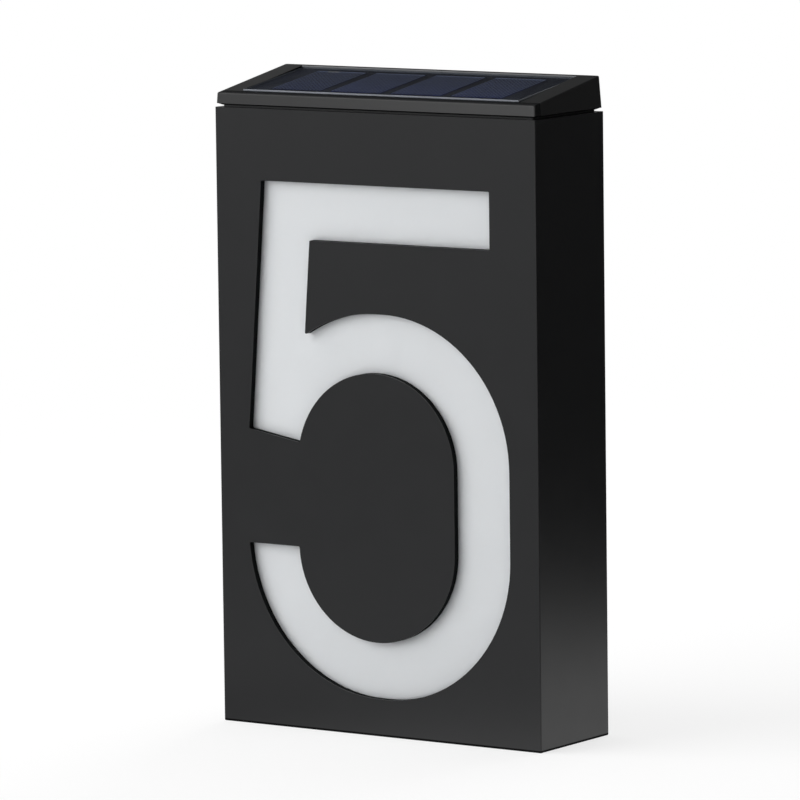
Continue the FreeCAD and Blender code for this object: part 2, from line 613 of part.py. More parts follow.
def foam_pads():
    """Four foam blocks that press the tray and the diffuser against the front."""
    pads = []
    for x in (-FOAM_SPACING / 2, FOAM_SPACING / 2):
        for z in FOAM_ROW_HEIGHTS:
            pads.append(block(x - FOAM_SIZE / 2, x + FOAM_SIZE / 2, TRAY_BACK_Y, BACK_INNER_Y,
                              z - FOAM_SIZE / 2, z + FOAM_SIZE / 2))
    return group(pads)


# ---- Cap and solar panel -----------------------------------------------------------
def cap_wedge():
    """The cap's drafted outer form, rounded at its corners and top edges."""
    bottom = rectangle(CAP_HALF_WIDTH, CAP_FRONT_Y, CAP_BACK_Y, CAP_BOTTOM, CAP_BOTTOM)
    front_half = CAP_HALF_WIDTH - DRAFT * CAP_FRONT_HEIGHT
    back_half = CAP_HALF_WIDTH - DRAFT * CAP_REAR_HEIGHT
    front_z = CAP_BOTTOM + CAP_FRONT_HEIGHT
    back_z = CAP_BOTTOM + CAP_REAR_HEIGHT
    top = [V(-front_half, TOP_FRONT_Y, front_z), V(front_half, TOP_FRONT_Y, front_z),
           V(back_half, TOP_BACK_Y, back_z), V(-back_half, TOP_BACK_Y, back_z)]
    wedge = solid_from_corners(bottom, top)
    wedge = wedge.makeFillet(CAP_CORNER_RADIUS, upright_edges(wedge))
    top_edges = [e for e in wedge.Edges if min(v.Z - slope_height(v.Y) for v in e.Vertexes) > -CAP_INSET]
    return wedge.makeFillet(CAP_EDGE_RADIUS, top_edges)


def cap_hollow():
    """The space under the cap's sloping ceiling, between the neck's inner walls."""
    ceiling_drop = NECK_TOP - panel_height(TOP_FRONT_Y, CEILING_DEPTH)
    meeting_y = TOP_FRONT_Y + ceiling_drop / math.tan(PANEL_ANGLE)
    start_y = max(NECK_INNER_FRONT_Y, meeting_y + HOLLOW_SETBACK)
    low = NECK_TOP - CUT_OVERRUN
    corners = [V(0, start_y, low), V(0, NECK_INNER_BACK_Y, low),
               V(0, NECK_INNER_BACK_Y, panel_height(NECK_INNER_BACK_Y, CEILING_DEPTH)),
               V(0, start_y, panel_height(start_y, CEILING_DEPTH))]
    profile = Part.Face(Part.makePolygon(corners + corners[:1]))
    hollow = profile.extrude(V(2 * NECK_INNER_HALF_WIDTH, 0, 0))
    hollow.translate(V(-NECK_INNER_HALF_WIDTH, 0, 0))
    return hollow


def tower_places():
    """Centres (x, y) of the four screw towers in the neck."""
    return corner_points(TOWER_X, TOWER_FRONT_Y, TOWER_BACK_Y)


def cap_shell():
    """The sloping frame that holds the solar panel, with bosses for the neck's screws."""
    bevel = solid_from_corners(
        rectangle(NECK_HALF_WIDTH, NECK_FRONT_Y, NECK_BACK_Y, NECK_TOP, NECK_TOP),
        rectangle(CAP_HALF_WIDTH - CAP_EDGE_RADIUS, CAP_FRONT_Y + CAP_EDGE_RADIUS,
                  CAP_BACK_Y - CAP_EDGE_RADIUS, CAP_BOTTOM, CAP_BOTTOM))
    shell = joined([cap_wedge(), bevel]).cut(cap_hollow())
    bosses = []
    pilots = []
    for x, y in tower_places():
        bosses.append(rod(CAP_BOSS_RADIUS, V(x, y, TOWER_TOP), V(x, y, panel_height(y, POCKET_DEPTH))))
        end = TOWER_TOP - TOWER_ROOF + CAP_SCREW_LENGTH + PILOT_EXTRA
        pilots.append(rod(SCREW_RADIUS + THREAD_GAP, V(x, y, TOWER_TOP - CUT_OVERRUN), V(x, y, end)))
    shell = joined([shell] + bosses)
    pocket = panel_block(WINDOW_HALF_WIDTH, WINDOW_FRONT_Y, WINDOW_BACK_Y, -CUT_OVERRUN, POCKET_DEPTH)
    opening = panel_block(WINDOW_HALF_WIDTH - LEDGE_WIDTH, WINDOW_FRONT_Y + LEDGE_WIDTH,
                          WINDOW_BACK_Y - LEDGE_WIDTH, 0, CEILING_DEPTH + LEDGE_WIDTH)
    shell = shell.cut(pocket).cut(opening).cut(group(pilots))
    window_edges = [e for e in shell.Edges
                    if all(abs(v.Z - slope_height(v.Y)) < PANEL_GAP / 10 for v in e.Vertexes)
                    and all(abs(v.X) < WINDOW_HALF_WIDTH + PANEL_GAP for v in e.Vertexes)
                    and all(WINDOW_FRONT_Y - CAP_EDGE_RADIUS < v.Y < WINDOW_BACK_Y + CAP_EDGE_RADIUS
                            for v in e.Vertexes)]
    return shell.makeFillet(WINDOW_EDGE_RADIUS, window_edges)


def panel_plate(depth0, depth1):
    """A plate that fills the cap's window between two depths below the panel's reference plane,
    with the panel's clearance."""
    return panel_block(WINDOW_HALF_WIDTH - PANEL_GAP, WINDOW_FRONT_Y + PANEL_GAP,
                       WINDOW_BACK_Y - PANEL_GAP, depth0, depth1)


def cell_centres():
    """X of the middle of every solar cell."""
    pitch = CELL_WIDTH + CELL_GAP
    return [(i - (CELL_COUNT - 1) / 2) * pitch for i in range(CELL_COUNT)]


def solar_cell(x):
    """One strip of silicon on the panel's board."""
    cell_bottom = COVER_THICKNESS - PANEL_PROUD
    return panel_block(CELL_WIDTH / 2, WINDOW_FRONT_Y + PANEL_GAP + CELL_END_MARGIN,
                       WINDOW_BACK_Y - PANEL_GAP - CELL_END_MARGIN,
                       cell_bottom - CELL_THICKNESS, cell_bottom, x)


def panel_cover():
    """Clear layer cast over the board and the cells, rounded along its upper edges."""
    cover = panel_plate(-PANEL_PROUD, COVER_THICKNESS - PANEL_PROUD)
    upper = [e for e in cover.Edges
             if all(v.Z > panel_height(v.Y, -PANEL_PROUD) - COVER_THICKNESS / 2 for v in e.Vertexes)]
    return cover.makeFillet(COVER_EDGE_RADIUS, upper).cut(group([solar_cell(x) for x in cell_centres()]))


def panel_board():
    """Black board that carries the cells."""
    return panel_plate(COVER_THICKNESS - PANEL_PROUD, PANEL_DEPTH)


def panel_adhesive():
    """Black silicone between the board and the window's ledge."""
    ring = panel_plate(PANEL_DEPTH, POCKET_DEPTH)
    return ring.cut(panel_block(WINDOW_HALF_WIDTH - LEDGE_WIDTH, WINDOW_FRONT_Y + LEDGE_WIDTH,
                                WINDOW_BACK_Y - LEDGE_WIDTH, 0, CEILING_DEPTH))


# ---- Neck --------------------------------------------------------------------------
def neck_ring(grow_inner, grow_outer, z0, z1):
    """A ring around the neck between two offsets from its outer face."""
    outer = wide_block(NECK_HALF_WIDTH + grow_outer, NECK_FRONT_Y - grow_outer, NECK_BACK_Y + grow_outer,
                       z0, z1)
    inner = wide_block(NECK_HALF_WIDTH + grow_inner, NECK_FRONT_Y - grow_inner, NECK_BACK_Y + grow_inner,
                       z0 - CUT_OVERRUN, z1 + CUT_OVERRUN)
    return outer.makeFillet(NECK_CORNER_RADIUS, upright_edges(outer)).cut(inner)


def seal_span():
    """Lowest and highest level of the seal."""
    middle = BOX_HEIGHT - SEAL_DROP
    return middle - SEAL_HEIGHT / 2, middle + SEAL_HEIGHT / 2


def neck_seal():
    """Rubber ring in the neck's groove."""
    z0, z1 = seal_span()
    return neck_ring(-SEAL_DEPTH, SEAL_PROUD, z0, z1)


def strip_screw_places():
    """Centres (x, y) of the screws at the ends of the lamp strip."""
    return [(-POST_X, LED_Y), (POST_X, LED_Y)]


def switch_screw_places():
    """Centres (x, y) of the screws in the switch's flange."""
    half = SWITCH_SCREW_SPACING / 2
    return [(SWITCH_X - half, SWITCH_Y), (SWITCH_X + half, SWITCH_Y)]


def hinge_ears():
    """X spans of the three fixed ears of the door's hinge."""
    half = HINGE_EAR_WIDTH / 2
    left = BAY_LEFT_X + half
    right = BAY_RIGHT_X - half
    return [(x - half, x + half) for x in (left, (left + right) / 2, right)]


def door_knuckles():
    """X spans of the door's own knuckles, one beside each outer ear and two at the middle."""
    ears = hinge_ears()
    gap = HINGE_SIDE_GAP
    width = HINGE_KNUCKLE_WIDTH
    return [(ears[0][1] + gap, ears[0][1] + gap + width), (ears[1][0] - gap - width, ears[1][0] - gap),
            (ears[1][1] + gap, ears[1][1] + gap + width), (ears[2][0] - gap - width, ears[2][0] - gap)]


def hinge_rod(radius, x0, x1):
    """A round bar on the door's hinge line."""
    return rod(radius, V(x0, HINGE_Y, HINGE_Z), V(x1, HINGE_Y, HINGE_Z))


def module_base():
    """The neck: an open box that holds the battery, the lamp strip and the switch."""
    body = wide_block(NECK_HALF_WIDTH, NECK_FRONT_Y, NECK_BACK_Y, NECK_BOTTOM, NECK_TOP)
    body = body.makeFillet(NECK_CORNER_RADIUS, upright_edges(body))
    body = body.cut(wide_block(NECK_INNER_HALF_WIDTH, NECK_INNER_FRONT_Y, NECK_INNER_BACK_Y,
                               FLOOR_TOP, NECK_TOP + CUT_OVERRUN))
    z0, z1 = seal_span()
    added = [body.cut(neck_ring(-SEAL_DEPTH, SEAL_DEPTH, z0, z1))]
    cuts = []
    added.append(block(BAY_LEFT_X - BAY_WALL, BAY_RIGHT_X + BAY_WALL, BAY_FRONT_Y - BAY_WALL,
                       BAY_BACK_Y + BAY_WALL, NECK_BOTTOM, BAY_ROOF + BAY_WALL))
    cuts.append(block(BAY_LEFT_X, BAY_RIGHT_X, BAY_FRONT_Y, BAY_BACK_Y, NECK_BOTTOM - CUT_OVERRUN, BAY_ROOF))
    for side_x in (BAY_LEFT_X - BAY_WALL, BAY_RIGHT_X):
        cuts.append(block(side_x - SLOT_GAP, side_x + BAY_WALL + SLOT_GAP,
                          BAY_CENTRE_Y - TAB_WIDTH / 2 - SLOT_GAP, BAY_CENTRE_Y + TAB_WIDTH / 2 + SLOT_GAP,
                          TAB_Z - SLOT_GAP, TAB_Z + CONTACT_THICKNESS + SLOT_GAP))
    for x, y in tower_places():
        added.append(rod(TOWER_RADIUS, V(x, y, NECK_BOTTOM), V(x, y, TOWER_TOP)))
        cuts.append(rod(CAP_SCREW_HEAD_RADIUS + FIT_GAP, V(x, y, NECK_BOTTOM - CUT_OVERRUN),
                        V(x, y, TOWER_TOP - TOWER_ROOF)))
        cuts.append(rod(SCREW_RADIUS + THREAD_GAP, V(x, y, NECK_BOTTOM), V(x, y, TOWER_TOP + CUT_OVERRUN)))
    for x, y in strip_screw_places():
        added.append(rod(POST_RADIUS, V(x, y, NECK_BOTTOM), V(x, y, STRIP_BOTTOM)))
        pilot_end = STRIP_BOTTOM - SMALL_SCREW_BITE - PILOT_EXTRA
        cuts.append(rod(SMALL_SCREW_RADIUS + THREAD_GAP, V(x, y, pilot_end),
                        V(x, y, STRIP_BOTTOM + CUT_OVERRUN)))
    for x, y in switch_screw_places():
        cuts.append(rod(SMALL_SCREW_RADIUS + THREAD_GAP, V(x, y, FLOOR_TOP - SWITCH_SCREW_BITE),
                        V(x, y, FLOOR_TOP + CUT_OVERRUN)))
    lens_half_width = LENS_WIDTH / 2
    cuts.append(block(-LENS_HALF_LENGTH, LENS_HALF_LENGTH, LED_Y - lens_half_width, LED_Y + lens_half_width,
                      NECK_BOTTOM - CUT_OVERRUN, FLOOR_TOP + CUT_OVERRUN))
    cuts.append(knob_slot(NECK_BOTTOM - CUT_OVERRUN, FLOOR_TOP + CUT_OVERRUN))
    for x0, x1 in door_knuckles():
        cuts.append(hinge_rod(HINGE_KNUCKLE_RADIUS + HINGE_ROUND_GAP,
                              x0 - HINGE_SIDE_GAP, x1 + HINGE_SIDE_GAP))
    body = joined(added).cut(group(cuts))
    ears = [body]
    for x0, x1 in hinge_ears():
        ears.append(hinge_rod(HINGE_KNUCKLE_RADIUS, x0, x1))
        ears.append(block(x0, x1, HINGE_Y - HINGE_KNUCKLE_RADIUS, HINGE_Y, HINGE_Z, NECK_BOTTOM + HINGE_DROP))
    pin_hole = hinge_rod(HINGE_PIN_RADIUS + THREAD_GAP, BAY_LEFT_X - BAY_WALL, BAY_RIGHT_X + BAY_WALL)
    return joined(ears).cut(pin_hole)


def knob_slot(z0, z1):
    """The slot that the switch's knob slides in."""
    return block(KNOB_OFF_X - KNOB_LENGTH / 2 - KNOB_GAP,
                 KNOB_OFF_X + KNOB_LENGTH / 2 + KNOB_TRAVEL + KNOB_GAP,
                 SWITCH_Y - KNOB_WIDTH / 2 - KNOB_GAP, SWITCH_Y + KNOB_WIDTH / 2 + KNOB_GAP, z0, z1)


def module_screws():
    """Four screws from below that hold the neck to the cap."""
    screws = []
    for x, y in tower_places():
        seat = TOWER_TOP - TOWER_ROOF
        head = rod(CAP_SCREW_HEAD_RADIUS, V(x, y, seat - CAP_SCREW_HEAD_HEIGHT), V(x, y, seat))
        shank = rod(SCREW_RADIUS, V(x, y, seat), V(x, y, seat + CAP_SCREW_LENGTH))
        recess = cross_recess(CAP_SCREW_HEAD_RADIUS, CAP_SCREW_HEAD_HEIGHT / 2)
        recess.rotate(V(0, 0, 0), V(1, 0, 0), 180)
        recess.translate(V(x, y, seat - CAP_SCREW_HEAD_HEIGHT))
        screws.append(joined([head, shank]).cut(recess))
    return group(screws)


# ---- Battery and its door ----------------------------------------------------------
def battery():
    """One small round cell that lies along X with its button to the right."""
    left = BAY_LEFT_X + CONTACT_THICKNESS + LEAF_REACH
    right = left + BATTERY_LENGTH
    can = rod(BATTERY_RADIUS, V(left, BAY_CENTRE_Y, BATTERY_Z), V(right, BAY_CENTRE_Y, BATTERY_Z))
    rims = [e for e in can.Edges if e.isClosed()]
    can = can.makeFillet(BATTERY_EDGE_RADIUS, rims)
    button = rod(BATTERY_BUTTON_RADIUS, V(right - BATTERY_BUTTON_LENGTH, BAY_CENTRE_Y, BATTERY_Z),
                 V(right + BATTERY_BUTTON_LENGTH, BAY_CENTRE_Y, BATTERY_Z))
    return joined([can, button])


def contact_plate(wall_x, inward):
    """A flat contact against an end wall of the bay, with its solder tab through the wall."""
    x0, x1 = sorted((wall_x, wall_x + inward * CONTACT_THICKNESS))
    plate = block(x0, x1, BAY_CENTRE_Y - CONTACT_WIDTH / 2, BAY_CENTRE_Y + CONTACT_WIDTH / 2,
                  BATTERY_Z - CONTACT_HEIGHT / 2, BATTERY_Z + CONTACT_HEIGHT / 2)
    t0, t1 = sorted((wall_x + inward * CONTACT_THICKNESS, wall_x - inward * (BAY_WALL + TAB_LENGTH)))
    tab = block(t0, t1, BAY_CENTRE_Y - TAB_WIDTH / 2, BAY_CENTRE_Y + TAB_WIDTH / 2,
                TAB_Z, TAB_Z + CONTACT_THICKNESS)
    return joined([plate, tab])


def positive_contact():
    """The flat contact that the battery's button touches."""
    return contact_plate(BAY_RIGHT_X, -1)


def negative_contact():
    """The sprung contact: a flat one with a leaf bent out towards the battery."""
    x = BAY_LEFT_X + CONTACT_THICKNESS
    tip = x + LEAF_REACH
    t = CONTACT_THICKNESS
    half = LEAF_HEIGHT / 2
    outline = [V(x, 0, BATTERY_Z - half), V(tip - t, 0, BATTERY_Z - t), V(tip, 0, BATTERY_Z - t),
               V(tip, 0, BATTERY_Z + t), V(tip - t, 0, BATTERY_Z + t), V(x + t, 0, BATTERY_Z + half),
               V(x + t, 0, BATTERY_Z + half - t), V(tip - 2 * t, 0, BATTERY_Z),
               V(x, 0, BATTERY_Z - half + 2 * t)]
    leaf = Part.Face(Part.makePolygon(outline + outline[:1])).extrude(V(0, TAB_WIDTH, 0))
    leaf.translate(V(0, BAY_CENTRE_Y - TAB_WIDTH / 2, 0))
    return joined([contact_plate(BAY_LEFT_X, 1), leaf])


def battery_door():
    """The flap that closes the bay from below, with its knuckles and a finger edge."""
    rear = BAY_BACK_Y - DOOR_GAP
    plate = block(BAY_LEFT_X + DOOR_GAP, BAY_RIGHT_X - DOOR_GAP, BAY_FRONT_Y + DOOR_FRONT_GAP, rear,
                  NECK_BOTTOM, FLOOR_TOP)
    grip = block(BAY_CENTRE_X - DOOR_TAB_WIDTH / 2, BAY_CENTRE_X + DOOR_TAB_WIDTH / 2,
                 rear - DOOR_TAB_DEPTH, rear, NECK_BOTTOM - DOOR_TAB_HEIGHT, NECK_BOTTOM)
    knuckles = [hinge_rod(HINGE_KNUCKLE_RADIUS, x0, x1) for x0, x1 in door_knuckles()]
    door = joined([plate, grip] + knuckles)
    cuts = [hinge_rod(HINGE_KNUCKLE_RADIUS + HINGE_ROUND_GAP, x0 - HINGE_SIDE_GAP, x1 + HINGE_SIDE_GAP)
            for x0, x1 in hinge_ears()]
    cuts.append(hinge_rod(HINGE_PIN_RADIUS + HINGE_RUN_GAP, BAY_LEFT_X, BAY_RIGHT_X))
    return door.cut(group(cuts))


def door_hinge_pin():
    """Steel pin through the ears and the knuckles."""
    return hinge_rod(HINGE_PIN_RADIUS, BAY_LEFT_X, BAY_RIGHT_X)


# ---- Lamp strip --------------------------------------------------------------------
def led_strip():
    """The narrow circuit board above the lens."""
    board = block(-STRIP_HALF_LENGTH, STRIP_HALF_LENGTH, NECK_INNER_FRONT_Y + STRIP_EDGE_GAP,
                  LED_ZONE_BACK_Y - STRIP_EDGE_GAP, STRIP_BOTTOM, STRIP_TOP)
    holes = [rod(STRIP_HOLE_RADIUS, V(x, y, STRIP_BOTTOM - CUT_OVERRUN), V(x, y, STRIP_TOP + CUT_OVERRUN))
             for x, y in strip_screw_places()]
    return board.cut(group(holes))


def leds():
    """The lamps under the strip, evenly spaced along the lens."""
    half = LENS_HALF_LENGTH - LED_END_MARGIN
    pitch = 2 * half / (LED_COUNT - 1)
    lamps = []
    for i in range(LED_COUNT):
        x = -half + i * pitch
        lamps.append(block(x - LED_LENGTH / 2, x + LED_LENGTH / 2, LED_Y - LED_WIDTH / 2,
                           LED_Y + LED_WIDTH / 2, STRIP_BOTTOM - LED_HEIGHT, STRIP_BOTTOM))
    return group(lamps)


def led_lens():
    """Clear bar in the neck's floor, with a flange that rests on the floor."""
    half_length = LENS_HALF_LENGTH - LENS_GAP
    half_width = LENS_WIDTH / 2 - LENS_GAP
    plug = block(-half_length, half_length, LED_Y - half_width, LED_Y + half_width, NECK_BOTTOM, FLOOR_TOP)
    flange = block(-LENS_HALF_LENGTH - LENS_FLANGE, LENS_HALF_LENGTH + LENS_FLANGE,
                   LED_Y - LENS_WIDTH / 2 - LENS_FLANGE, LED_Y + LENS_WIDTH / 2 + LENS_FLANGE,
                   FLOOR_TOP, FLOOR_TOP + LENS_FLANGE_THICKNESS)
    return joined([plug, flange])


def small_screw(x, y, seat, bite):
    """A small pan-head screw from above: its head sits at seat and it reaches bite below it."""
    head = rod(SMALL_SCREW_HEAD_RADIUS, V(x, y, seat), V(x, y, seat + SMALL_SCREW_HEAD_HEIGHT))
    shank = rod(SMALL_SCREW_RADIUS, V(x, y, seat - bite), V(x, y, seat))
    recess = cross_recess(SMALL_SCREW_HEAD_RADIUS, SMALL_SCREW_HEAD_HEIGHT / 2)
    recess.translate(V(x, y, seat + SMALL_SCREW_HEAD_HEIGHT))
    return joined([head, shank]).cut(recess)


def strip_screws():
    """Two screws that hold the lamp strip on its posts."""
    bite = STRIP_THICKNESS + SMALL_SCREW_BITE
    return group([small_screw(x, y, STRIP_TOP, bite) for x, y in strip_screw_places()])


def driver_chip():
    """Eight-legged chip that charges the battery and drives the lamps."""
    length, width, height = CHIP_SIZE
    leg_length, leg_reach, leg_height = CHIP_LEG_SIZE
    pieces = [block(CHIP_X - length / 2, CHIP_X + length / 2, LED_Y - width / 2, LED_Y + width / 2,
                    STRIP_TOP, STRIP_TOP + height)]
    for i in range(CHIP_LEGS_PER_SIDE):
        x = CHIP_X + (i - (CHIP_LEGS_PER_SIDE - 1) / 2) * CHIP_LEG_PITCH
        pieces.append(block(x - leg_length / 2, x + leg_length / 2, LED_Y - width / 2 - leg_reach,
                            LED_Y + width / 2 + leg_reach, STRIP_TOP, STRIP_TOP + leg_height))
    return joined(pieces)


def inductor():
    """Drum core with its winding."""
    foot = V(INDUCTOR_X, LED_Y, STRIP_TOP)
    up = V(0, 0, 1)
    lower = Part.makeCylinder(INDUCTOR_RADIUS, INDUCTOR_FLANGE, foot, up)
    core = Part.makeCylinder(INDUCTOR_CORE_RADIUS, INDUCTOR_HEIGHT, foot, up)
    head = foot.add(V(0, 0, INDUCTOR_HEIGHT - INDUCTOR_FLANGE))
    upper = Part.makeCylinder(INDUCTOR_RADIUS, INDUCTOR_FLANGE, head, up)
    return joined([lower, core, upper])


def capacitor():
    """Round capacitor beside the chip."""
    foot = V(CAPACITOR_X, LED_Y, STRIP_TOP)
    return Part.makeCylinder(CAPACITOR_RADIUS, CAPACITOR_HEIGHT, foot, V(0, 0, 1))


# ---- Switch ------------------------------------------------------------------------
def switch_body():
    """Slide switch on the neck's floor, with a flange for its screws."""
    case = block(SWITCH_X - SWITCH_LENGTH / 2, SWITCH_X + SWITCH_LENGTH / 2, SWITCH_Y - SWITCH_WIDTH / 2,
                 SWITCH_Y + SWITCH_WIDTH / 2, FLOOR_TOP, FLOOR_TOP + SWITCH_HEIGHT)
    flange = block(SWITCH_X - SWITCH_FLANGE_LENGTH / 2, SWITCH_X + SWITCH_FLANGE_LENGTH / 2,
                   SWITCH_Y - SWITCH_WIDTH / 2, SWITCH_Y + SWITCH_WIDTH / 2,
                   FLOOR_TOP, FLOOR_TOP + SWITCH_FLANGE_THICKNESS)
    cuts = [knob_slot(FLOOR_TOP - CUT_OVERRUN, FLOOR_TOP + KNOB_INNER_HEIGHT + KNOB_GAP)]
    for x, y in switch_screw_places():
        cuts.append(rod(STRIP_HOLE_RADIUS, V(x, y, FLOOR_TOP - CUT_OVERRUN),
                        V(x, y, FLOOR_TOP + CUT_OVERRUN)))
    return joined([case, flange]).cut(group(cuts))


def switch_knob():
    """The slider that a finger pushes from below."""
    return block(KNOB_OFF_X - KNOB_LENGTH / 2, KNOB_OFF_X + KNOB_LENGTH / 2, SWITCH_Y - KNOB_WIDTH / 2,
                 SWITCH_Y + KNOB_WIDTH / 2, NECK_BOTTOM - KNOB_REACH, FLOOR_TOP + KNOB_INNER_HEIGHT)


def switch_screws():
    """Two screws through the switch's flange."""
    bite = SWITCH_FLANGE_THICKNESS + SWITCH_SCREW_BITE
    seat = FLOOR_TOP + SWITCH_FLANGE_THICKNESS
    return group([small_screw(x, y, seat, bite - THREAD_GAP) for x, y in switch_screw_places()])


# ---- Wires -------------------------------------------------------------------------
def panel_wire(side):
    """A wire from the underside of the panel's board down to the lamp strip."""
    x0 = PANEL_WIRE_X
    x1 = PANEL_WIRE_X + side * WIRE_PAIR_SPACING / 2
    start_z = panel_height(PANEL_WIRE_START_Y, PANEL_DEPTH) - WIRE_RADIUS * math.tan(PANEL_ANGLE)
    return bent_wire([V(x1, PANEL_WIRE_START_Y, start_z), V(x1, PANEL_WIRE_START_Y, start_z - PANEL_WIRE_RUN),
                      V(x0 + side * WIRE_PAIR_SPACING, LED_Y, start_z - PANEL_WIRE_RUN),
                      V(x0 + side * WIRE_PAIR_SPACING, LED_Y, STRIP_TOP)], WIRE_RADIUS)


def battery_wire(tab_x, landing_x):
    """A wire from a contact's tab, up over the bay's wall and down to the lamp strip."""
    start_z = TAB_Z + CONTACT_THICKNESS
    top_z = BAY_ROOF + BAY_WALL + WIRE_RADIUS + WIRE_CLEARANCE
    return bent_wire([V(tab_x, BAY_CENTRE_Y, start_z), V(tab_x, BAY_CENTRE_Y, top_z),
                      V(landing_x, LED_Y, top_z), V(landing_x, LED_Y, STRIP_TOP)], WIRE_RADIUS)


def build_parts():
    """Every sub-part by name."""
    tab_reach = BAY_WALL + TAB_LENGTH / 2
    red_x = BAY_RIGHT_X + tab_reach
    black_x = BAY_LEFT_X - tab_reach
    parts = {
        "housing_shell": housing_shell(),
        "back_plate": back_plate(),
        "back_screws": back_screws(),
        "diffuser": diffuser(),
        "reflector_tray": reflector_tray(),
        "foam_pads": foam_pads(),
        "cap_shell": cap_shell(),
        "panel_cover": panel_cover(),
        "panel_board": panel_board(),
        "panel_adhesive": panel_adhesive(),
        "module_base": module_base(),
        "neck_seal": neck_seal(),
        "module_screws": module_screws(),
        "battery": battery(),
        "positive_contact": positive_contact(),
        "negative_contact": negative_contact(),
        "battery_door": battery_door(),
        "door_hinge_pin": door_hinge_pin(),
        "led_strip": led_strip(),
        "leds": leds(),
        "led_lens": led_lens(),
        "strip_screws": strip_screws(),
        "driver_chip": driver_chip(),
        "inductor": inductor(),
        "capacitor": capacitor(),
        "switch_body": switch_body(),
        "switch_knob": switch_knob(),
        "switch_screws": switch_screws(),
        "panel_wire_red": panel_wire(1),
        "panel_wire_black": panel_wire(-1),
        "battery_wire_red": battery_wire(red_x, red_x),
        "battery_wire_black": battery_wire(black_x, LANDING_INSET - POST_X),
    }
    for number, x in enumerate(cell_centres(), start=1):
        parts["solar_cell_%d" % number] = solar_cell(x)
    return parts


def main():
    """Build every sub-part and write one file for each."""
    os.makedirs("parts", exist_ok=True)
    for name, shape in build_parts().items():
        if not shape.isValid():
            print("not valid:", name)
        shape.exportStep("parts/%s.step" % name)
        print("%-20s %2d solid(s) %10.1f mm3" % (name, len(shape.Solids), shape.Volume))


main()
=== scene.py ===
"""Looks of a solar house number light, dressed over its construction model.

Lengths are metres. X runs to the right, Y from the front face to the wall and Z up. The origin is
the middle of the face that the box stands on.
"""
from __future__ import annotations

import logging
import math
from dataclasses import dataclass
from enum import Enum
from typing import Any, Mapping, Sequence

import bmesh
import bpy
import numpy as np
from mathutils import Matrix, Vector


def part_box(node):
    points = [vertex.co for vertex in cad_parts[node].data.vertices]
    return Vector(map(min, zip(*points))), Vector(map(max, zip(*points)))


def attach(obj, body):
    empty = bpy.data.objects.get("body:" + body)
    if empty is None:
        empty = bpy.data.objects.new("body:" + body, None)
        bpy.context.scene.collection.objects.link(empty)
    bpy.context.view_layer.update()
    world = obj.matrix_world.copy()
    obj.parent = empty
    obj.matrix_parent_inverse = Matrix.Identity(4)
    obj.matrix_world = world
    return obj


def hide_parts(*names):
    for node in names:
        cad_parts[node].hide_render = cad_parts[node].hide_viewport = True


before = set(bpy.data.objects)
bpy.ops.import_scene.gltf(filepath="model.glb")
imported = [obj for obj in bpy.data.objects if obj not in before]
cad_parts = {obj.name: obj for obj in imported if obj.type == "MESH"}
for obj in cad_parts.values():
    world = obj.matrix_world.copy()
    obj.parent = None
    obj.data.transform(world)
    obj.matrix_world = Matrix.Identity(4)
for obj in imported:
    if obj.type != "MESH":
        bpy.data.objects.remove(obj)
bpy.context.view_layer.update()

LOG = logging.getLogger("house_number_light")
MM = 0.001
FULL_TURN = 2 * math.pi
Colour = tuple[float, float, float]
Pair = tuple[float, float]
Sockets = Mapping[str | int, Any]
Object = bpy.types.Object
Array = np.ndarray


class Body(Enum):
    """The bodies that pieces ride on."""

    HOUSING = "housing"
    CAP = "cap_module"
    DOOR = "door"
    KNOB = "knob"


class Slot(Enum):
    """The record's material slots that new pieces belong to."""

    FOAM = "foam"
    CONTACT = "contact_metal"
    SEAL = "seal"
    LAMP = "lamp"
    COPPER = "copper"
    NECK = "neck"
    KNOB = "knob"


class Axis(Enum):
    """The axes of space."""

    X = "X"
    Y = "Y"
    Z = "Z"


class Ray(Enum):
    """The kinds of ray that the studio tells apart."""

    CAMERA = "Is Camera Ray"
    GLOSSY = "Is Glossy Ray"
    THROUGH = "Is Transmission Ray"


# ---- Shader expressions ----
class Signal:
    """The output of a shader node, on which Python's operators act."""

    def __init__(self, graph: Graph, output: bpy.types.NodeSocket | None) -> None:
        """Wrap an output of a node in the graph, or None where the node has no output."""
        self.graph = graph
        self.output = output

    def __add__(self, other: Value) -> Signal:
        """Sum."""
        return self.graph.maths("ADD", self, other)

    def __sub__(self, other: Value) -> Signal:
        """Difference."""
        return self.graph.maths("SUBTRACT", self, other)

    def __rsub__(self, other: Value) -> Signal:
        """Difference, with the number first."""
        return self.graph.maths("SUBTRACT", other, self)

    def __mul__(self, other: Value) -> Signal:
        """Product."""
        return self.graph.maths("MULTIPLY", self, other)

    def __gt__(self, other: Value) -> Signal:
        """1 where this is greater, else 0."""
        return self.graph.maths("GREATER_THAN", self, other)

    def __lt__(self, other: Value) -> Signal:
        """1 where this is less, else 0."""
        return self.graph.maths("LESS_THAN", self, other)

    def __abs__(self) -> Signal:
        """Size without sign."""
        return self.graph.maths("ABSOLUTE", self)

    __radd__ = __add__
    __rmul__ = __mul__


Value = Signal | float


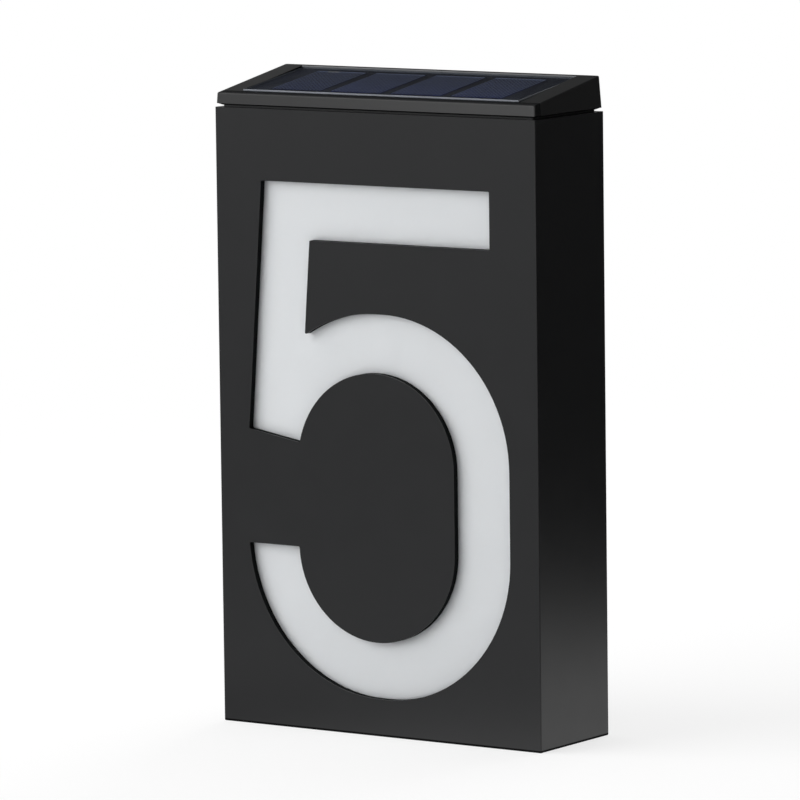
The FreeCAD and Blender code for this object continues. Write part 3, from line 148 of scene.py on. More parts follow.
class Graph:
    """A node tree that is written as expressions."""

    def __init__(self, tree: bpy.types.NodeTree) -> None:
        """Start an empty graph in the node tree of a material or of the world."""
        self.tree = tree
        tree.nodes.clear()

    def node(self, kind: str, settings: Mapping[str, Any] | None = None,
             sockets: Sockets | None = None, out: str | int = 0) -> Signal:
        """Add one node.

        Args:
            kind: Blender's name of the node's type, without ShaderNode in front.
            settings: The node's own properties, set first.
            sockets: Values, colours or signals for the inputs, by name or number.
            out: The output to return, by name or number.

        Returns:
            The chosen output.
        """
        made = self.tree.nodes.new("ShaderNode" + kind)
        for key, value in (settings or {}).items():
            setattr(made, key, value)
        for key, value in (sockets or {}).items():
            if isinstance(value, Signal):
                self.tree.links.new(value.output, made.inputs[key])
            elif made.inputs[key].type == "RGBA":
                made.inputs[key].default_value = (*value, 1.0)
            else:
                made.inputs[key].default_value = value
        return Signal(self, made.outputs[out] if len(made.outputs) else None)

    def maths(self, operation: str, *values: Value) -> Signal:
        """The result of a Math node."""
        return self.node("Math", {"operation": operation}, dict(enumerate(values)))

    def vector(self, operation: str, out: str, sockets: Sockets) -> Signal:
        """The result of a Vector Math node."""
        return self.node("VectorMath", {"operation": operation}, sockets, out)

    def scaled(self, colour: Colour, level: Signal) -> Signal:
        """A colour times a number."""
        return self.vector("SCALE", "Vector", {0: colour, "Scale": level})

    def along(self, where: Signal, way: Sequence[float]) -> Signal:
        """How far a place or a direction reaches along a way: their dot product."""
        return self.vector("DOT_PRODUCT", "Value", {0: where, 1: way})

    def away(self, x: float = 0.0, y: float = 0.0) -> Signal:
        """Distance from a place on the ground."""
        return self.vector("LENGTH", "Value", {0: self.place(shift=(-x, -y, 0.0))})

    def smooth(self, value: Value, low: float, high: float) -> Signal:
        """Ease from 0 at low to 1 at high."""
        return self.node("MapRange", {"interpolation_type": "SMOOTHSTEP"},
                         {"Value": value, "From Min": low, "From Max": high})

    def fade(self, value: Value, low: float, high: float) -> Signal:
        """Ease from 1 at low to 0 at high."""
        return 1 - self.smooth(value, low, high)

    def most(self, first: Value, second: Value) -> Signal:
        """The greater of two values."""
        return self.maths("MAXIMUM", first, second)

    def mix(self, factor: Value, first: Any, second: Any) -> Signal:
        """Mix two colours or signals; the factor is the share of the second."""
        sockets = {0: factor, 6: first, 7: second}
        return self.node("Mix", {"data_type": "RGBA"}, sockets, 2)

    def layered(self, factor: Value, under: Signal, over: Signal) -> Signal:
        """Mix two shaders; the factor is the share of the one on top."""
        return self.node("MixShader", None, {0: factor, 1: under, 2: over})

    def place(self, turn: Sequence[float] = (0.0, 0.0, 0.0),
              stretch: Sequence[float] = (1.0, 1.0, 1.0),
              shift: Sequence[float] = (0.0, 0.0, 0.0)) -> Signal:
        """Object coordinates, turned by radians about X, Y and Z, stretched and shifted."""
        where = self.node("TexCoord", out="Object")
        return self.node("Mapping", None,
                         {"Vector": where, "Location": shift, "Rotation": turn, "Scale": stretch})

    def axis(self, axis: Axis, where: Signal | None = None) -> Signal:
        """One coordinate of a place, or of the plain Object coordinates."""
        return self.node("SeparateXYZ", None, {0: where or self.place()}, axis.value)

    def ray(self, kind: Ray) -> Signal:
        """1 for rays of one kind, else 0."""
        return self.node("LightPath", out=kind.value)

    def noise(self, size: float, detail: float = 2.0, where: Signal | None = None) -> Signal:
        """Soft noise from 0 to 1, from the width of its blotches and its number of finer layers."""
        return self.node("TexNoise", None,
                         {"Vector": where or self.place(), "Scale": 1.0 / size, "Detail": detail})

    def cells(self, size: float, out: str) -> Signal:
        """An output of a pattern of cells: Distance from their middles, or a Color for each."""
        sockets = {"Vector": self.place(), "Scale": 1 / size}
        return self.node("TexVoronoi", None, sockets, out)

    def varied(self, mean: Value, swing: float, size: float, detail: float = 2.0) -> Signal:
        """A value that drifts about its mean: swing is the width of its range, size its noise's."""
        return mean + (self.noise(size, detail) - 0.5) * swing

    def bump(self, height: Signal, depth: float, over: Signal | None = None) -> Signal:
        """A normal bent by a height in units of depth, over the surface's own or a bent one."""
        sockets = {"Strength": 1.0, "Distance": depth, "Height": height}
        return self.node("Bump", None, {**sockets, "Normal": over} if over else sockets)

    def surface(self, **sockets: Any) -> Signal:
        """The main shader; its inputs are written with an underscore for each space."""
        return self.node("BsdfPrincipled", None,
                         {key.replace("_", " "): value for key, value in sockets.items()})

    def finish(self, shader: Signal, output: str = "OutputMaterial") -> None:
        """Link the shader to an output node of the type named."""
        self.node(output, None, {"Surface": shader})


# ---- Finishes ----
def dimmed(colour: Colour, share: float) -> Colour:
    """A share of a colour."""
    return tuple(share * part for part in colour)


@dataclass(frozen=True)
class Finish:
    """A named material; each kind of finish writes its own shader."""

    name: str

    def shader(self, graph: Graph) -> Signal:
        """The finish's shader."""
        raise NotImplementedError

    def material(self) -> bpy.types.Material:
        """Build the material.

        Returns:
            The material.
        """
        made = bpy.data.materials.new(self.name)
        made.use_nodes = True
        graph = Graph(made.node_tree)
        graph.finish(self.shader(graph))
        return made


@dataclass(frozen=True)
class Skin:
    """One kind of surface on a moulding.

    Share is its lightness beside the moulding's own colour, roughness its mean roughness and gloss
    the strength of its mirror part, where 0.5 is plain plastic.
    """

    share: float
    roughness: float
    gloss: float


# Darker and rougher skin; its darkness is painted shade wherever it is laid.
DULL_PAINTED_SHADE = Skin(0.3, 0.8, 0.1)


@dataclass(frozen=True)
class Plastic(Finish):
    """Moulded plastic: an even colour that drifts a little, with a fine spark-eroded grain."""

    colour: Colour
    roughness: float = 0.4
    gloss: float = 0.5
    grain: float = 0.35 * MM
    depth: float = 0.004 * MM
    drift: float = 0.08
    cloud_size: float = 22 * MM
    speck_grains: float = 3.0
    patch_size: float = 9 * MM
    patch_swing: float = 0.08

    def shader(self, graph: Graph) -> Signal:
        """The plain skin, with the skins of this part's special places mixed in.

        Args:
            graph: The material's graph.

        Returns:
            The shader.
        """
        shader = self.skin(graph, Skin(1.0, self.roughness, self.gloss))
        for mask, skin in self.patches(graph):
            shader = graph.layered(mask, shader, self.skin(graph, skin))
        return shader

    def skin(self, graph: Graph, kind: Skin) -> Signal:
        """One kind of skin of this plastic.

        Args:
            graph: The material's graph.
            kind: The kind.

        Returns:
            Its shader.
        """
        cloud = graph.varied(1.0, 2 * self.drift, self.cloud_size, detail=3.0)
        level = kind.share * graph.varied(cloud, self.drift, self.grain * self.speck_grains)
        return graph.surface(
            Base_Color=graph.scaled(self.colour, level),
            Roughness=graph.varied(kind.roughness, self.patch_swing, self.patch_size),
            Normal=graph.bump(graph.noise(self.grain), self.depth, self.form(graph)),
            Specular_IOR_Level=kind.gloss)

    def form(self, graph: Graph) -> Signal | None:
        """The normal under the grain; a plain moulding keeps the surface's own."""
        return None

    def patches(self, graph: Graph) -> list[tuple[Signal, Skin]]:
        """Masks of special places with their skins; a plain moulding has none."""
        return []


@dataclass(frozen=True)
class HousingPlastic(Plastic):
    """The housing's satin plastic, dull with painted shade in the numeral's cut and at its bottom.
    """

    cut_from: float = 0.0
    cut_to: float = 0.0
    cut_reach: float = 52.5 * MM
    # Height of the band of painted shade along the bottom edge.
    foot_shade_band: float = 0.7 * MM

    def patches(self, graph: Graph) -> list[tuple[Signal, Skin]]:
        """The places with painted shade: the numeral's cut and a band along the bottom."""
        x, y, z = (graph.axis(axis) for axis in Axis)
        # Painted shade: a darker, duller skin in the numeral's cut and along the bottom edge.
        return [(graph.most((y > self.cut_from) * (y < self.cut_to) * (abs(x) < self.cut_reach),
                            z < self.foot_shade_band), DULL_PAINTED_SHADE)]


@dataclass(frozen=True)
class CapPlastic(Plastic):
    """The cap's satin plastic: round the panel the rear wall is pale with a painted highlight, the
    side walls are dull and darker with painted shade, and the strip in front is matt and darker
    with painted shade. The top is shaded as slightly crowned.
    """

    wall_y: float = 0.0
    front_y: float = 0.0
    wall_x: float = 0.0
    wall_z: float = 0.0
    wall_depth: float = 0.12 * MM
    strip_depth: float = 2.3 * MM
    crown: float = 0.5
    # Skin of the strip in front: matt, and darker as painted shade.
    matt: Skin = Skin(0.8, 0.7, 0.1)
    # Skin of the rear wall: pale as a painted highlight.
    pale: Skin = Skin(15.0, 0.3, 0.5)

    def form(self, graph: Graph) -> Signal | None:
        """The normal of a top that falls by crown times the square of X."""
        x = graph.axis(Axis.X)
        return graph.bump(x * x * -self.crown, depth=1.0)

    def patches(self, graph: Graph) -> list[tuple[Signal, Skin]]:
        """The walls of the panel's window and the strip in front of it, with painted shade and a
        painted highlight.

        Args:
            graph: The material's graph.

        Returns:
            Their masks and skins, in the order in which they are laid over the plain skin.
        """
        x, y, z = (graph.axis(axis) for axis in Axis)
        above = z > self.wall_z
        rear = (abs(y - self.wall_y) < self.wall_depth) * (abs(x) < self.wall_x)
        sides = (abs(abs(x) - self.wall_x) < self.wall_depth) * (y < self.wall_y)
        strip = (y < self.front_y) * (y > self.front_y - self.strip_depth)
        # Painted shade on the side walls and the strip in front, a painted highlight on the rear
        # wall.
        return [(sides * (y > self.front_y) * above, DULL_PAINTED_SHADE), (strip * above, self.matt),
                (rear * above, self.pale)]


@dataclass(frozen=True)
class OpalSheet(Finish):
    """Opal plastic that light soaks into, with a faint frosted grain."""

    colour: Colour = (0.735, 0.760, 0.785)
    roughness: float = 0.45
    soak: float = 5.0 * MM
    grain: float = 0.25 * MM

    def shader(self, graph: Graph) -> Signal:
        """Opal that scatters light under its surface."""
        return graph.surface(
            Base_Color=graph.scaled(self.colour, graph.varied(1.0, swing=0.03, size=35 * MM)),
            Roughness=graph.varied(self.roughness, swing=0.06, size=6 * MM),
            Normal=graph.bump(graph.noise(self.grain, detail=1.0), depth=0.003 * MM),
            Subsurface_Weight=1.0, Subsurface_Scale=self.soak, Subsurface_Radius=(1.0, 1.0, 1.0))


@dataclass(frozen=True)
class Plate:
    """Where a thin plate lies: its half width, its front end along its own slope, and its tilt."""

    half_width: float
    front: float
    tilt: float


@dataclass(frozen=True)
class ClearCover(Finish):
    """Clear plastic: see-through where it is looked at squarely, shiny at a slant, and pale on its
    rim as a painted highlight. A share of it may be milky.
    """

    tint: Colour = (0.92, 0.94, 0.97)
    milk: Colour = (0.02, 0.025, 0.035)
    milk_share: float = 0.03
    roughness: float = 0.12
    shine: float = 0.22
    bend: float = 1.45
    wave_size: float = 14 * MM
    wave_depth: float = 0.05 * MM
    rim: Plate | None = None
    # The rim's pale colour is a painted highlight on the cover's narrow faces.
    rim_highlight_colour: Colour = (0.30, 0.32, 0.355)
    rim_shade: float = 0.7
    rim_roughness: float = 0.3
    rim_width: float = 0.09 * MM

    def shader(self, graph: Graph) -> Signal:
        """The finish's shader.

        Args:
            graph: The material's graph.

        Returns:
            The shader.
        """
        wave = graph.bump(graph.noise(self.wave_size, detail=1.0), self.wave_depth)
        slant = graph.node("Fresnel", None, {"IOR": self.bend, "Normal": wave})
        clear = graph.node("BsdfTransparent", None, {"Color": self.tint})
        gloss = graph.surface(Base_Color=self.milk, Normal=wave,
                              Roughness=graph.varied(self.roughness, swing=0.05, size=5 * MM))
        cover = graph.layered(slant * self.shine + self.milk_share, clear, gloss)
        if not self.rim:
            return cover
        # A painted highlight: a pale opaque skin on the narrow faces.
        shade = dimmed(self.rim_highlight_colour, self.rim_shade)
        pale = graph.mix(graph.noise(size=3 * MM, detail=3.0), self.rim_highlight_colour, shade)
        rough = graph.varied(self.rim_roughness, swing=0.1, size=2 * MM)
        edge = graph.surface(Base_Color=pale, Roughness=rough)
        return graph.layered(self.rim_highlight_mask(graph, self.rim), cover, edge)

    def rim_highlight_mask(self, graph: Graph, plate: Plate) -> Signal:
        """1 where the highlight is painted, on the plate's narrow faces at its sides and its front;
        else 0.
        """
        level = graph.place(turn=(-plate.tilt, 0.0, 0.0))
        return graph.most(abs(graph.axis(Axis.X, level)) > plate.half_width - self.rim_width,
                          graph.axis(Axis.Y, level) < plate.front + self.rim_width)


@dataclass(frozen=True)
class SiliconCell(Finish):
    """Blue-black silicon with a faint crystal mottle."""

    colour: Colour = (0.025, 0.046, 0.26)
    lighter: Colour = (0.041, 0.069, 0.36)
    crystal: float = 2.4 * MM
    crystal_share: float = 0.6
    crystal_roughness: float = 0.08
    cloud_size: float = 8 * MM
    cloud_share: float = 0.3
    roughness: float = 0.34

    def shader(self, graph: Graph) -> Signal:
        """Two blues mixed by crystals and clouds.

        Args:
            graph: The material's graph.

        Returns:
            The shader.
        """
        flake = graph.axis(Axis.X, graph.cells(self.crystal, "Color"))
        mottle = flake * self.crystal_share + graph.noise(self.cloud_size) * self.cloud_share
        return graph.surface(Base_Color=graph.mix(mottle, self.colour, self.lighter),
                             Roughness=self.roughness + flake * self.crystal_roughness)


@dataclass(frozen=True)
class Metal(Finish):
    """Plated or bare metal, with fine scratches that run along one axis and a little dirt."""

    colour: Colour
    roughness: float = 0.3
    scratch_axis: Axis = Axis.X
    scratch_width: float = 0.12 * MM
    scratch_stretch: float = 0.08
    scratch_swing: float = 0.18
    dirt: float = 0.25
    dirt_size: float = 2.5 * MM
    dirt_shade: float = 0.55
    metallic: float = 0.82

    def shader(self, graph: Graph) -> Signal:
        """Metal that scratches bend and dirt shades.

        Args:
            graph: The material's graph.

        Returns:
            The shader.
        """
        stretch = [self.scratch_stretch if axis is self.scratch_axis else 1.0 for axis in Axis]
        scratch = graph.noise(self.scratch_width, where=graph.place(stretch=stretch))
        dirt = graph.noise(self.dirt_size, detail=3.0)
        cloud = graph.smooth(dirt, low=0.45, high=0.75) * self.dirt
        return graph.surface(
            Base_Color=graph.mix(cloud, self.colour, dimmed(self.colour, self.dirt_shade)),
            Roughness=self.roughness + (scratch - 0.5) * self.scratch_swing,
            Metallic=self.metallic, Normal=graph.bump(scratch, depth=0.002 * MM))


@dataclass(frozen=True)
class Rubber(Finish):
    """Matt rubber with a dusty bloom."""

    colour: Colour
    roughness: float = 0.7
    bloom_size: float = 3 * MM
    bloom_share: float = 0.35
    dust: float = 0.06

    def shader(self, graph: Graph) -> Signal:
        """Dark rubber, paler where dust lies.

        Args:
            graph: The material's graph.

        Returns:
            The shader.
        """
        bloom = graph.smooth(graph.noise(self.bloom_size, detail=4.0), low=0.45, high=0.8)
        dusty = tuple(part + self.dust for part in dimmed(self.colour, share=0.5))
        return graph.surface(
            Base_Color=graph.mix(bloom * self.bloom_share, self.colour, dusty),
            Roughness=graph.varied(self.roughness, swing=0.12, size=1.2 * MM),
            Normal=graph.bump(graph.noise(size=0.2 * MM), depth=0.006 * MM))


@dataclass(frozen=True)
class OpenFoam(Finish):
    """Black foam with open cells."""

    colour: Colour = (0.035, 0.035, 0.037)
    cell: float = 0.55 * MM
    cell_depth: float = 0.12 * MM
    roughness: float = 0.9
    rim_swing: float = 0.1

    def shader(self, graph: Graph) -> Signal:
        """Cells with pale rims and middles darkened as painted shade."""
        rim = graph.smooth(graph.cells(self.cell, "Distance"), low=0.15, high=0.6)
        return graph.surface(
            # The darker colour towards the cells' middles is painted shade in their hollows.
            Base_Color=graph.mix(rim, dimmed(self.colour, share=0.3), self.colour),
            Roughness=self.roughness + (rim - 0.5) * self.rim_swing,
            Normal=graph.bump(rim, self.cell_depth))


@dataclass(frozen=True)
class SolderMask(Finish):
    """White lacquer of the lamp strip, with copper tracks that stand out faintly under it."""

    colour: Colour = (0.74, 0.75, 0.73)
    pitch: float = 1.9 * MM
    track_share: float = 0.35
    track_shade: float = 0.86
    track_height: float = 0.03 * MM
    roughness: float = 0.32

    def shader(self, graph: Graph) -> Signal:
        """Lacquer that is darker and higher over the tracks."""
        track = graph.smooth(graph.maths("SINE", graph.axis(Axis.Y) * (FULL_TURN / self.pitch)),
                             low=0.2, high=0.5)
        return graph.surface(
            Base_Color=graph.mix(track * self.track_share, self.colour,
                                 dimmed(self.colour, self.track_shade)),
            Roughness=graph.varied(self.roughness, swing=0.08, size=4 * MM),
            Normal=graph.bump(track, self.track_height))


@dataclass(frozen=True)
class BatteryWrap(Finish):
    """Sleeve of the small round cell: a dark body, a copper-coloured end and a bare button."""

    ring_x: float
    end_x: float
    body: Colour = (0.02, 0.075, 0.05)
    band: Colour = (0.55, 0.28, 0.10)
    metal: Colour = (0.62, 0.62, 0.60)
    roughness: float = 0.28

    def shader(self, graph: Graph) -> Signal:
        """Three colours one after the other along X.

        Args:
            graph: The material's graph.

        Returns:
            The shader.
        """
        x = graph.axis(Axis.X)
        bare = x > self.end_x
        banded = graph.mix(x > self.ring_x, self.body, self.band)
        return graph.surface(Base_Color=graph.mix(bare, banded, self.metal), Metallic=bare,
                             Roughness=graph.varied(self.roughness, 0.1, 2 * MM, detail=3.0),
                             Normal=graph.bump(graph.noise(size=1.5 * MM), depth=0.01 * MM))


@dataclass(frozen=True)
class WireJacket(Finish):
    """Soft insulation with faint streaks from extrusion."""

    colour: Colour
    streak_size: float = 0.5 * MM
    streak_stretch: Sequence[float] = (1.0, 1.0, 0.2)
    streak_from: float = 0.3
    streak_share: float = 0.4
    streak_swing: float = 0.12
    roughness: float = 0.42

    def shader(self, graph: Graph) -> Signal:
        """A colour that streaks shade and bend."""
        streak = graph.noise(self.streak_size, where=graph.place(stretch=self.streak_stretch))
        return graph.surface(
            Base_Color=graph.mix((streak - self.streak_from) * self.streak_share, self.colour,
                                 dimmed(self.colour, share=0.6)),
            Roughness=self.roughness + (streak - 0.5) * self.streak_swing,
            Normal=graph.bump(streak, depth=0.004 * MM))


# ---- Surfaces worked out on grids ----
def placed(name: str, data: bpy.types.ID) -> Object:
    """Add an object to the scene.

    Args:
        name: Its name.
        data: The mesh, lamp or camera that it shows.

    Returns:
        The new object.
    """
    made = bpy.data.objects.new(name, data)
    bpy.context.scene.collection.objects.link(made)
    return made


def add_mesh(name: str, points: Array, faces: Array, smooth: bool) -> Object:
    """Make a mesh object whose place is in its mesh.

    Args:
        name: The object's name.
        points: Array whose last axis holds X, Y and Z.
        faces: Array of shape (m, 4) of indices into points.
        smooth: Whether its faces are shaded smooth.

    Returns:
        The new object.
    """
    mesh = bpy.data.meshes.new(name)
    mesh.from_pydata(points.reshape(-1, 3).tolist(), [], faces.tolist())
    mesh.polygons.foreach_set("use_smooth", np.full(len(faces), smooth))
    mesh.update()
    return placed(name, mesh)


def many(faces: Array, points_each: int, copies: int) -> Array:
    """The faces of several equal shapes whose points follow each other in one list."""
    shifts = np.arange(copies)[:, None, None] * points_each
    return (faces[None] + shifts).reshape(-1, faces.shape[1])


def surfaces(name: str, points: Array, ring: bool = False) -> Object:
    """Closed surfaces on grids whose columns wrap round, in one object.

    Each quad joins a point to its neighbours in the next row and column. Doubled points at poles
    and seams are merged, and all faces turned outwards.

    Args:
        name: The object's name.
        points: Array of shape (surfaces, rows, columns, 3).
        ring: Whether the last row joins the first; else each surface ends in two poles.

    Returns:
        The new object.
    """
    copies, rows, columns = points.shape[:3]
    i, j = np.meshgrid(np.arange(rows - (not ring)), np.arange(columns), indexing="ij")
    k, m = (i + 1) % rows, (j + 1) % columns
    quads = np.stack([i * columns + j, i * columns + m, k * columns + m, k * columns + j], axis=-1)
    faces = many(quads.reshape(-1, 4), rows * columns, copies)
    made = add_mesh(name, points, faces, smooth=True)
    work = bmesh.new()
    work.from_mesh(made.data)
    bmesh.ops.remove_doubles(work, verts=work.verts, dist=1e-7)
    bmesh.ops.dissolve_degenerate(work, edges=work.edges, dist=1e-8)
    bmesh.ops.recalc_face_normals(work, faces=work.faces)
    work.to_mesh(made.data)
    work.free()
    return made


def signed_power(wave: Array, power: float) -> Array:
    """A power of a wave's size that keeps the wave's sign."""
    return np.sign(wave) * np.abs(wave) ** power


def slabs(name: str, centres: Array, half_sizes: Array, axes: Array) -> Object:
    """Flat bars: each corner is its centre plus or minus half of each size along each axis.

    Args:
        name: The object's name.
        centres: Array of shape (n, 3).
        half_sizes: Array of shape (n, 3).
        axes: Three unit vectors as rows.

    Returns:
        One object that holds all bars.
    """
    square = ((-1, -1), (1, -1), (1, 1), (-1, 1))
    signs = np.array([[x, y, z] for z in (-1, 1) for x, y in square], float)
    quads = np.array([[0, 3, 2, 1], [4, 5, 6, 7], [0, 1, 5, 4], [1, 2, 6, 5], [2, 3, 7, 6],
                      [3, 0, 4, 7]])
    corners = centres[:, None, :] + (signs[None] * half_sizes[:, None, :]) @ axes
    return add_mesh(name, corners, many(quads, len(signs), len(centres)), smooth=False)


def rounded_boxes(name: str, centres: Array, half_size: Array, squareness: float,
                  steps: int = 24) -> Object:
    """Soft blocks: x, y and z are the half sizes times signed powers of the cosines and sines of
    two angles, so that a small power gives a box with rounded edges.

    Args:
        name: The object's name.
        centres: Array of shape (n, 3).
        half_size: Half sizes along X, Y and Z.
        squareness: The power; 1 is an ellipsoid and 0 a box.
        steps: Number of steps in a half turn.

    Returns:
        One object that holds all blocks.
    """
    polar, turn = np.meshgrid(np.linspace(-np.pi / 2, np.pi / 2, steps + 1),
                              np.linspace(0, FULL_TURN, 2 * steps, endpoint=False), indexing="ij")
    waves = np.stack([np.cos(polar), np.sin(polar), np.cos(turn), np.sin(turn)])
    level, rise, right, back = signed_power(waves, squareness)
    unit = np.stack([level * right, level * back, rise], axis=-1) * half_size
    return surfaces(name, centres[:, None, None, :] + unit)


# ---- Dressing ----
def dress(finish: Finish, *nodes: str) -> bpy.types.Material:
    """Give construction nodes one finish.

    Args:
        finish: The finish.
        nodes: The nodes' names.

    Returns:
        The finish's material.
    """
    material = finish.material()
    for node in nodes:
        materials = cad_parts[node].data.materials
        materials.clear()
        materials.append(material)
        LOG.info("dressed %s in %s", node, material.name)
    return material


def add_piece(piece: Object, body: Body, material: bpy.types.Material, slot: Slot,
              *replaced: str) -> None:
    """Finish a new piece and let it ride on its body.

    Args:
        piece: The new object.
        body: The body that it rides on.
        material: Its finish.
        slot: The record's material slot that it belongs to; not used.
        replaced: Construction nodes that it stands for.
    """
    piece.data.materials.append(material)
    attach(piece, body.value)
    if replaced:
        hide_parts(*replaced)
    LOG.info("made %s on %s with %d faces", piece.name, body.value, len(piece.data.polygons))


def points_of(mesh: bpy.types.Mesh) -> Array:
    """Read the points of a mesh.

    Args:
        mesh: The mesh.

    Returns:
        Array of shape (n, 3).
    """
    flat = np.empty(3 * len(mesh.vertices), np.float32)
    mesh.vertices.foreach_get("co", flat)
    return flat.reshape(-1, 3).astype(float)


def node_points(node: str) -> Array:
    """The points of a construction node."""
    return points_of(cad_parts[node].data)


def corners_of(node: str) -> tuple[Array, Array]:
    """The lowest and highest corner of a construction node as arrays."""
    low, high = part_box(node)
    return np.array(low), np.array(high)


@dataclass
class Housing:
    """The lit box with the numeral, its back plate, tray and foam."""

    foam_squareness: float = 0.22
    cut_edge: float = 0.3 * MM
    cut_depth: float = 15.0 * MM

    def build(self) -> None:
        """Make and dress the housing's pieces."""
        front = corners_of("housing_shell")[0][1]
        # The housing's plastic carries painted shade in the numeral's cut and along the bottom
        # edge.
        dress(HousingPlastic("anthracite_satin", (0.0105, 0.0108, 0.0116), roughness=0.32,
                             depth=0.003 * MM, cut_from=front + self.cut_edge,
                             cut_to=front + self.cut_depth), "housing_shell")
        dress(Plastic("black_matt", (0.020, 0.0205, 0.021), roughness=0.55, grain=0.6 * MM,
                      depth=0.012 * MM), "back_plate")
        dress(Metal("zinc_screw", (0.60, 0.61, 0.62), scratch_axis=Axis.Y), "back_screws")
        dress(OpalSheet("opal"), "diffuser")
        dress(Plastic("tray_white", (0.80, 0.80, 0.79), roughness=0.25, grain=1.5 * MM, drift=0.02),
              "reflector_tray")
        self.foam()

    def foam(self) -> None:
        """Replace the plain foam blocks by soft ones."""
        points = node_points("foam_pads")
        low, high = corners_of("foam_pads")
        left = points[points[:, 0] < 0, 0]
        upper = points[points[:, 2] > (low[2] + high[2]) / 2, 2]
        side = (left.max() - left.min()) / 2
        y, top = (low[1] + high[1]) / 2, (upper.min() + upper.max()) / 2
        centres = np.array([[x, y, z] for z in (low[2] + side, top)
                            for x in (low[0] + side, high[0] - side)])
        half = np.array([side, (high[1] - low[1]) / 2, side])
        blocks = rounded_boxes("foam_blocks", centres, half, self.foam_squareness)
        add_piece(blocks, Body.HOUSING, OpenFoam("open_foam").material(), Slot.FOAM, "foam_pads")


@dataclass
class SolarPanel:
    """Board, cells, their printed fingers and the clear cover, in the cap's slope."""

    cells: int = 4
    fingers: int = 15
    finger_width: float = 0.24 * MM
    finger_height: float = 0.012 * MM
    end_margin: float = 0.3 * MM
    bus_width: float = 0.45 * MM
    pad_length: float = 4.0 * MM
    pad_width: float = 0.8 * MM
    pad_offset: float = -0.3

    def build(self) -> None:
        """Make and dress the panel's pieces."""
        numbers = range(1, self.cells + 1)
        dress(SiliconCell("silicon"), *("solar_cell_%d" % number for number in numbers))
        silver = Metal("printed_silver", (0.40, 0.46, 0.70), roughness=0.5,
                       scratch_axis=Axis.Y).material()
        for number in numbers:
            add_piece(self.print_grid(number), Body.CAP, silver, Slot.CONTACT)
        add_piece(self.terminal(), Body.CAP, Metal("solder", (0.62, 0.62, 0.62)).material(),
                  Slot.CONTACT)
        dress(Plastic("panel_black", (0.0085, 0.0100, 0.0165), grain=0.8 * MM), "panel_board")
        # The clear cover's rim carries a painted highlight.
        dress(ClearCover("clear_resin", rim=self.cover_lie()), "panel_cover")
        dress(Rubber("black_silicone", (0.02, 0.02, 0.021)), "panel_adhesive")

    @staticmethod
    def plane(node: str) -> tuple[Array, Array, Array]:
        """The lie of a thin plate, from the spread of its corners.

        Args:
            node: The plate's node.

        Returns:
            The middle of its upper face, its half sizes, and its axes as rows: right, up the slope
            and out of its face.
        """
        points = node_points(node)
        middle = (points.min(0) + points.max(0)) / 2
        normal = np.linalg.svd(points - points.mean(0), full_matrices=False)[2][2]
        normal = normal * np.sign(normal[2])
        right = np.array([1.0, 0.0, 0.0])
        axes = np.stack([right, np.cross(normal, right), normal])
        half = np.abs((points - middle) @ axes.T).max(0)
        return middle + normal * half[2], half, axes

    def cover_lie(self) -> Plate:
        """The cover's lie, with its slope turned back about X to be level.

        Returns:
            The cover's half width, front end and tilt.
        """
        slope = self.plane("panel_cover")[2][1]
        points = node_points("panel_cover")
        return Plate(float(points[:, 0].max()), float((points @ slope).min()),
                     math.atan2(slope[2], slope[1]))

    def print_grid(self, number: int) -> Object:
        """Thin silver fingers from front to back and a collecting bar along the rear edge.

        Args:
            number: Number of the cell that they are printed on.

        Returns:
            The printed lines.
        """
        top, half, axes = self.plane("solar_cell_%d" % number)
        reach = half[1] - self.end_margin
        across = ((np.arange(self.fingers) + 0.5) / self.fingers * 2 - 1) * half[0]
        offsets = np.stack([across, 0 * across, 0 * across], axis=1)
        bar = np.array([[0.0, reach - self.bus_width / 2, 0.0]])
        centres = top + np.concatenate([offsets, bar]) @ axes + axes[2] * self.finger_height / 2
        size = [self.finger_width / 2, reach, self.finger_height / 2]
        bar_size = [half[0] - self.end_margin, self.bus_width / 2, self.finger_height * 0.6]
        sizes = np.array([size] * self.fingers + [bar_size])
        return slabs("cell_print_%d" % number, centres, sizes, axes)

    def terminal(self) -> Object:
        """The soldered tab at the rear edge of the first cell.

        Returns:
            The tab.
        """
        top, half, axes = self.plane("solar_cell_1")
        place = np.array([self.pad_offset * half[0],
                          half[1] - self.end_margin - self.pad_width / 2, 2 * self.finger_height])
        size = np.array([[self.pad_length / 2, self.pad_width / 2, 1.5 * self.finger_height]])
        return slabs("cell_terminal", (top + place @ axes)[None], size, axes)


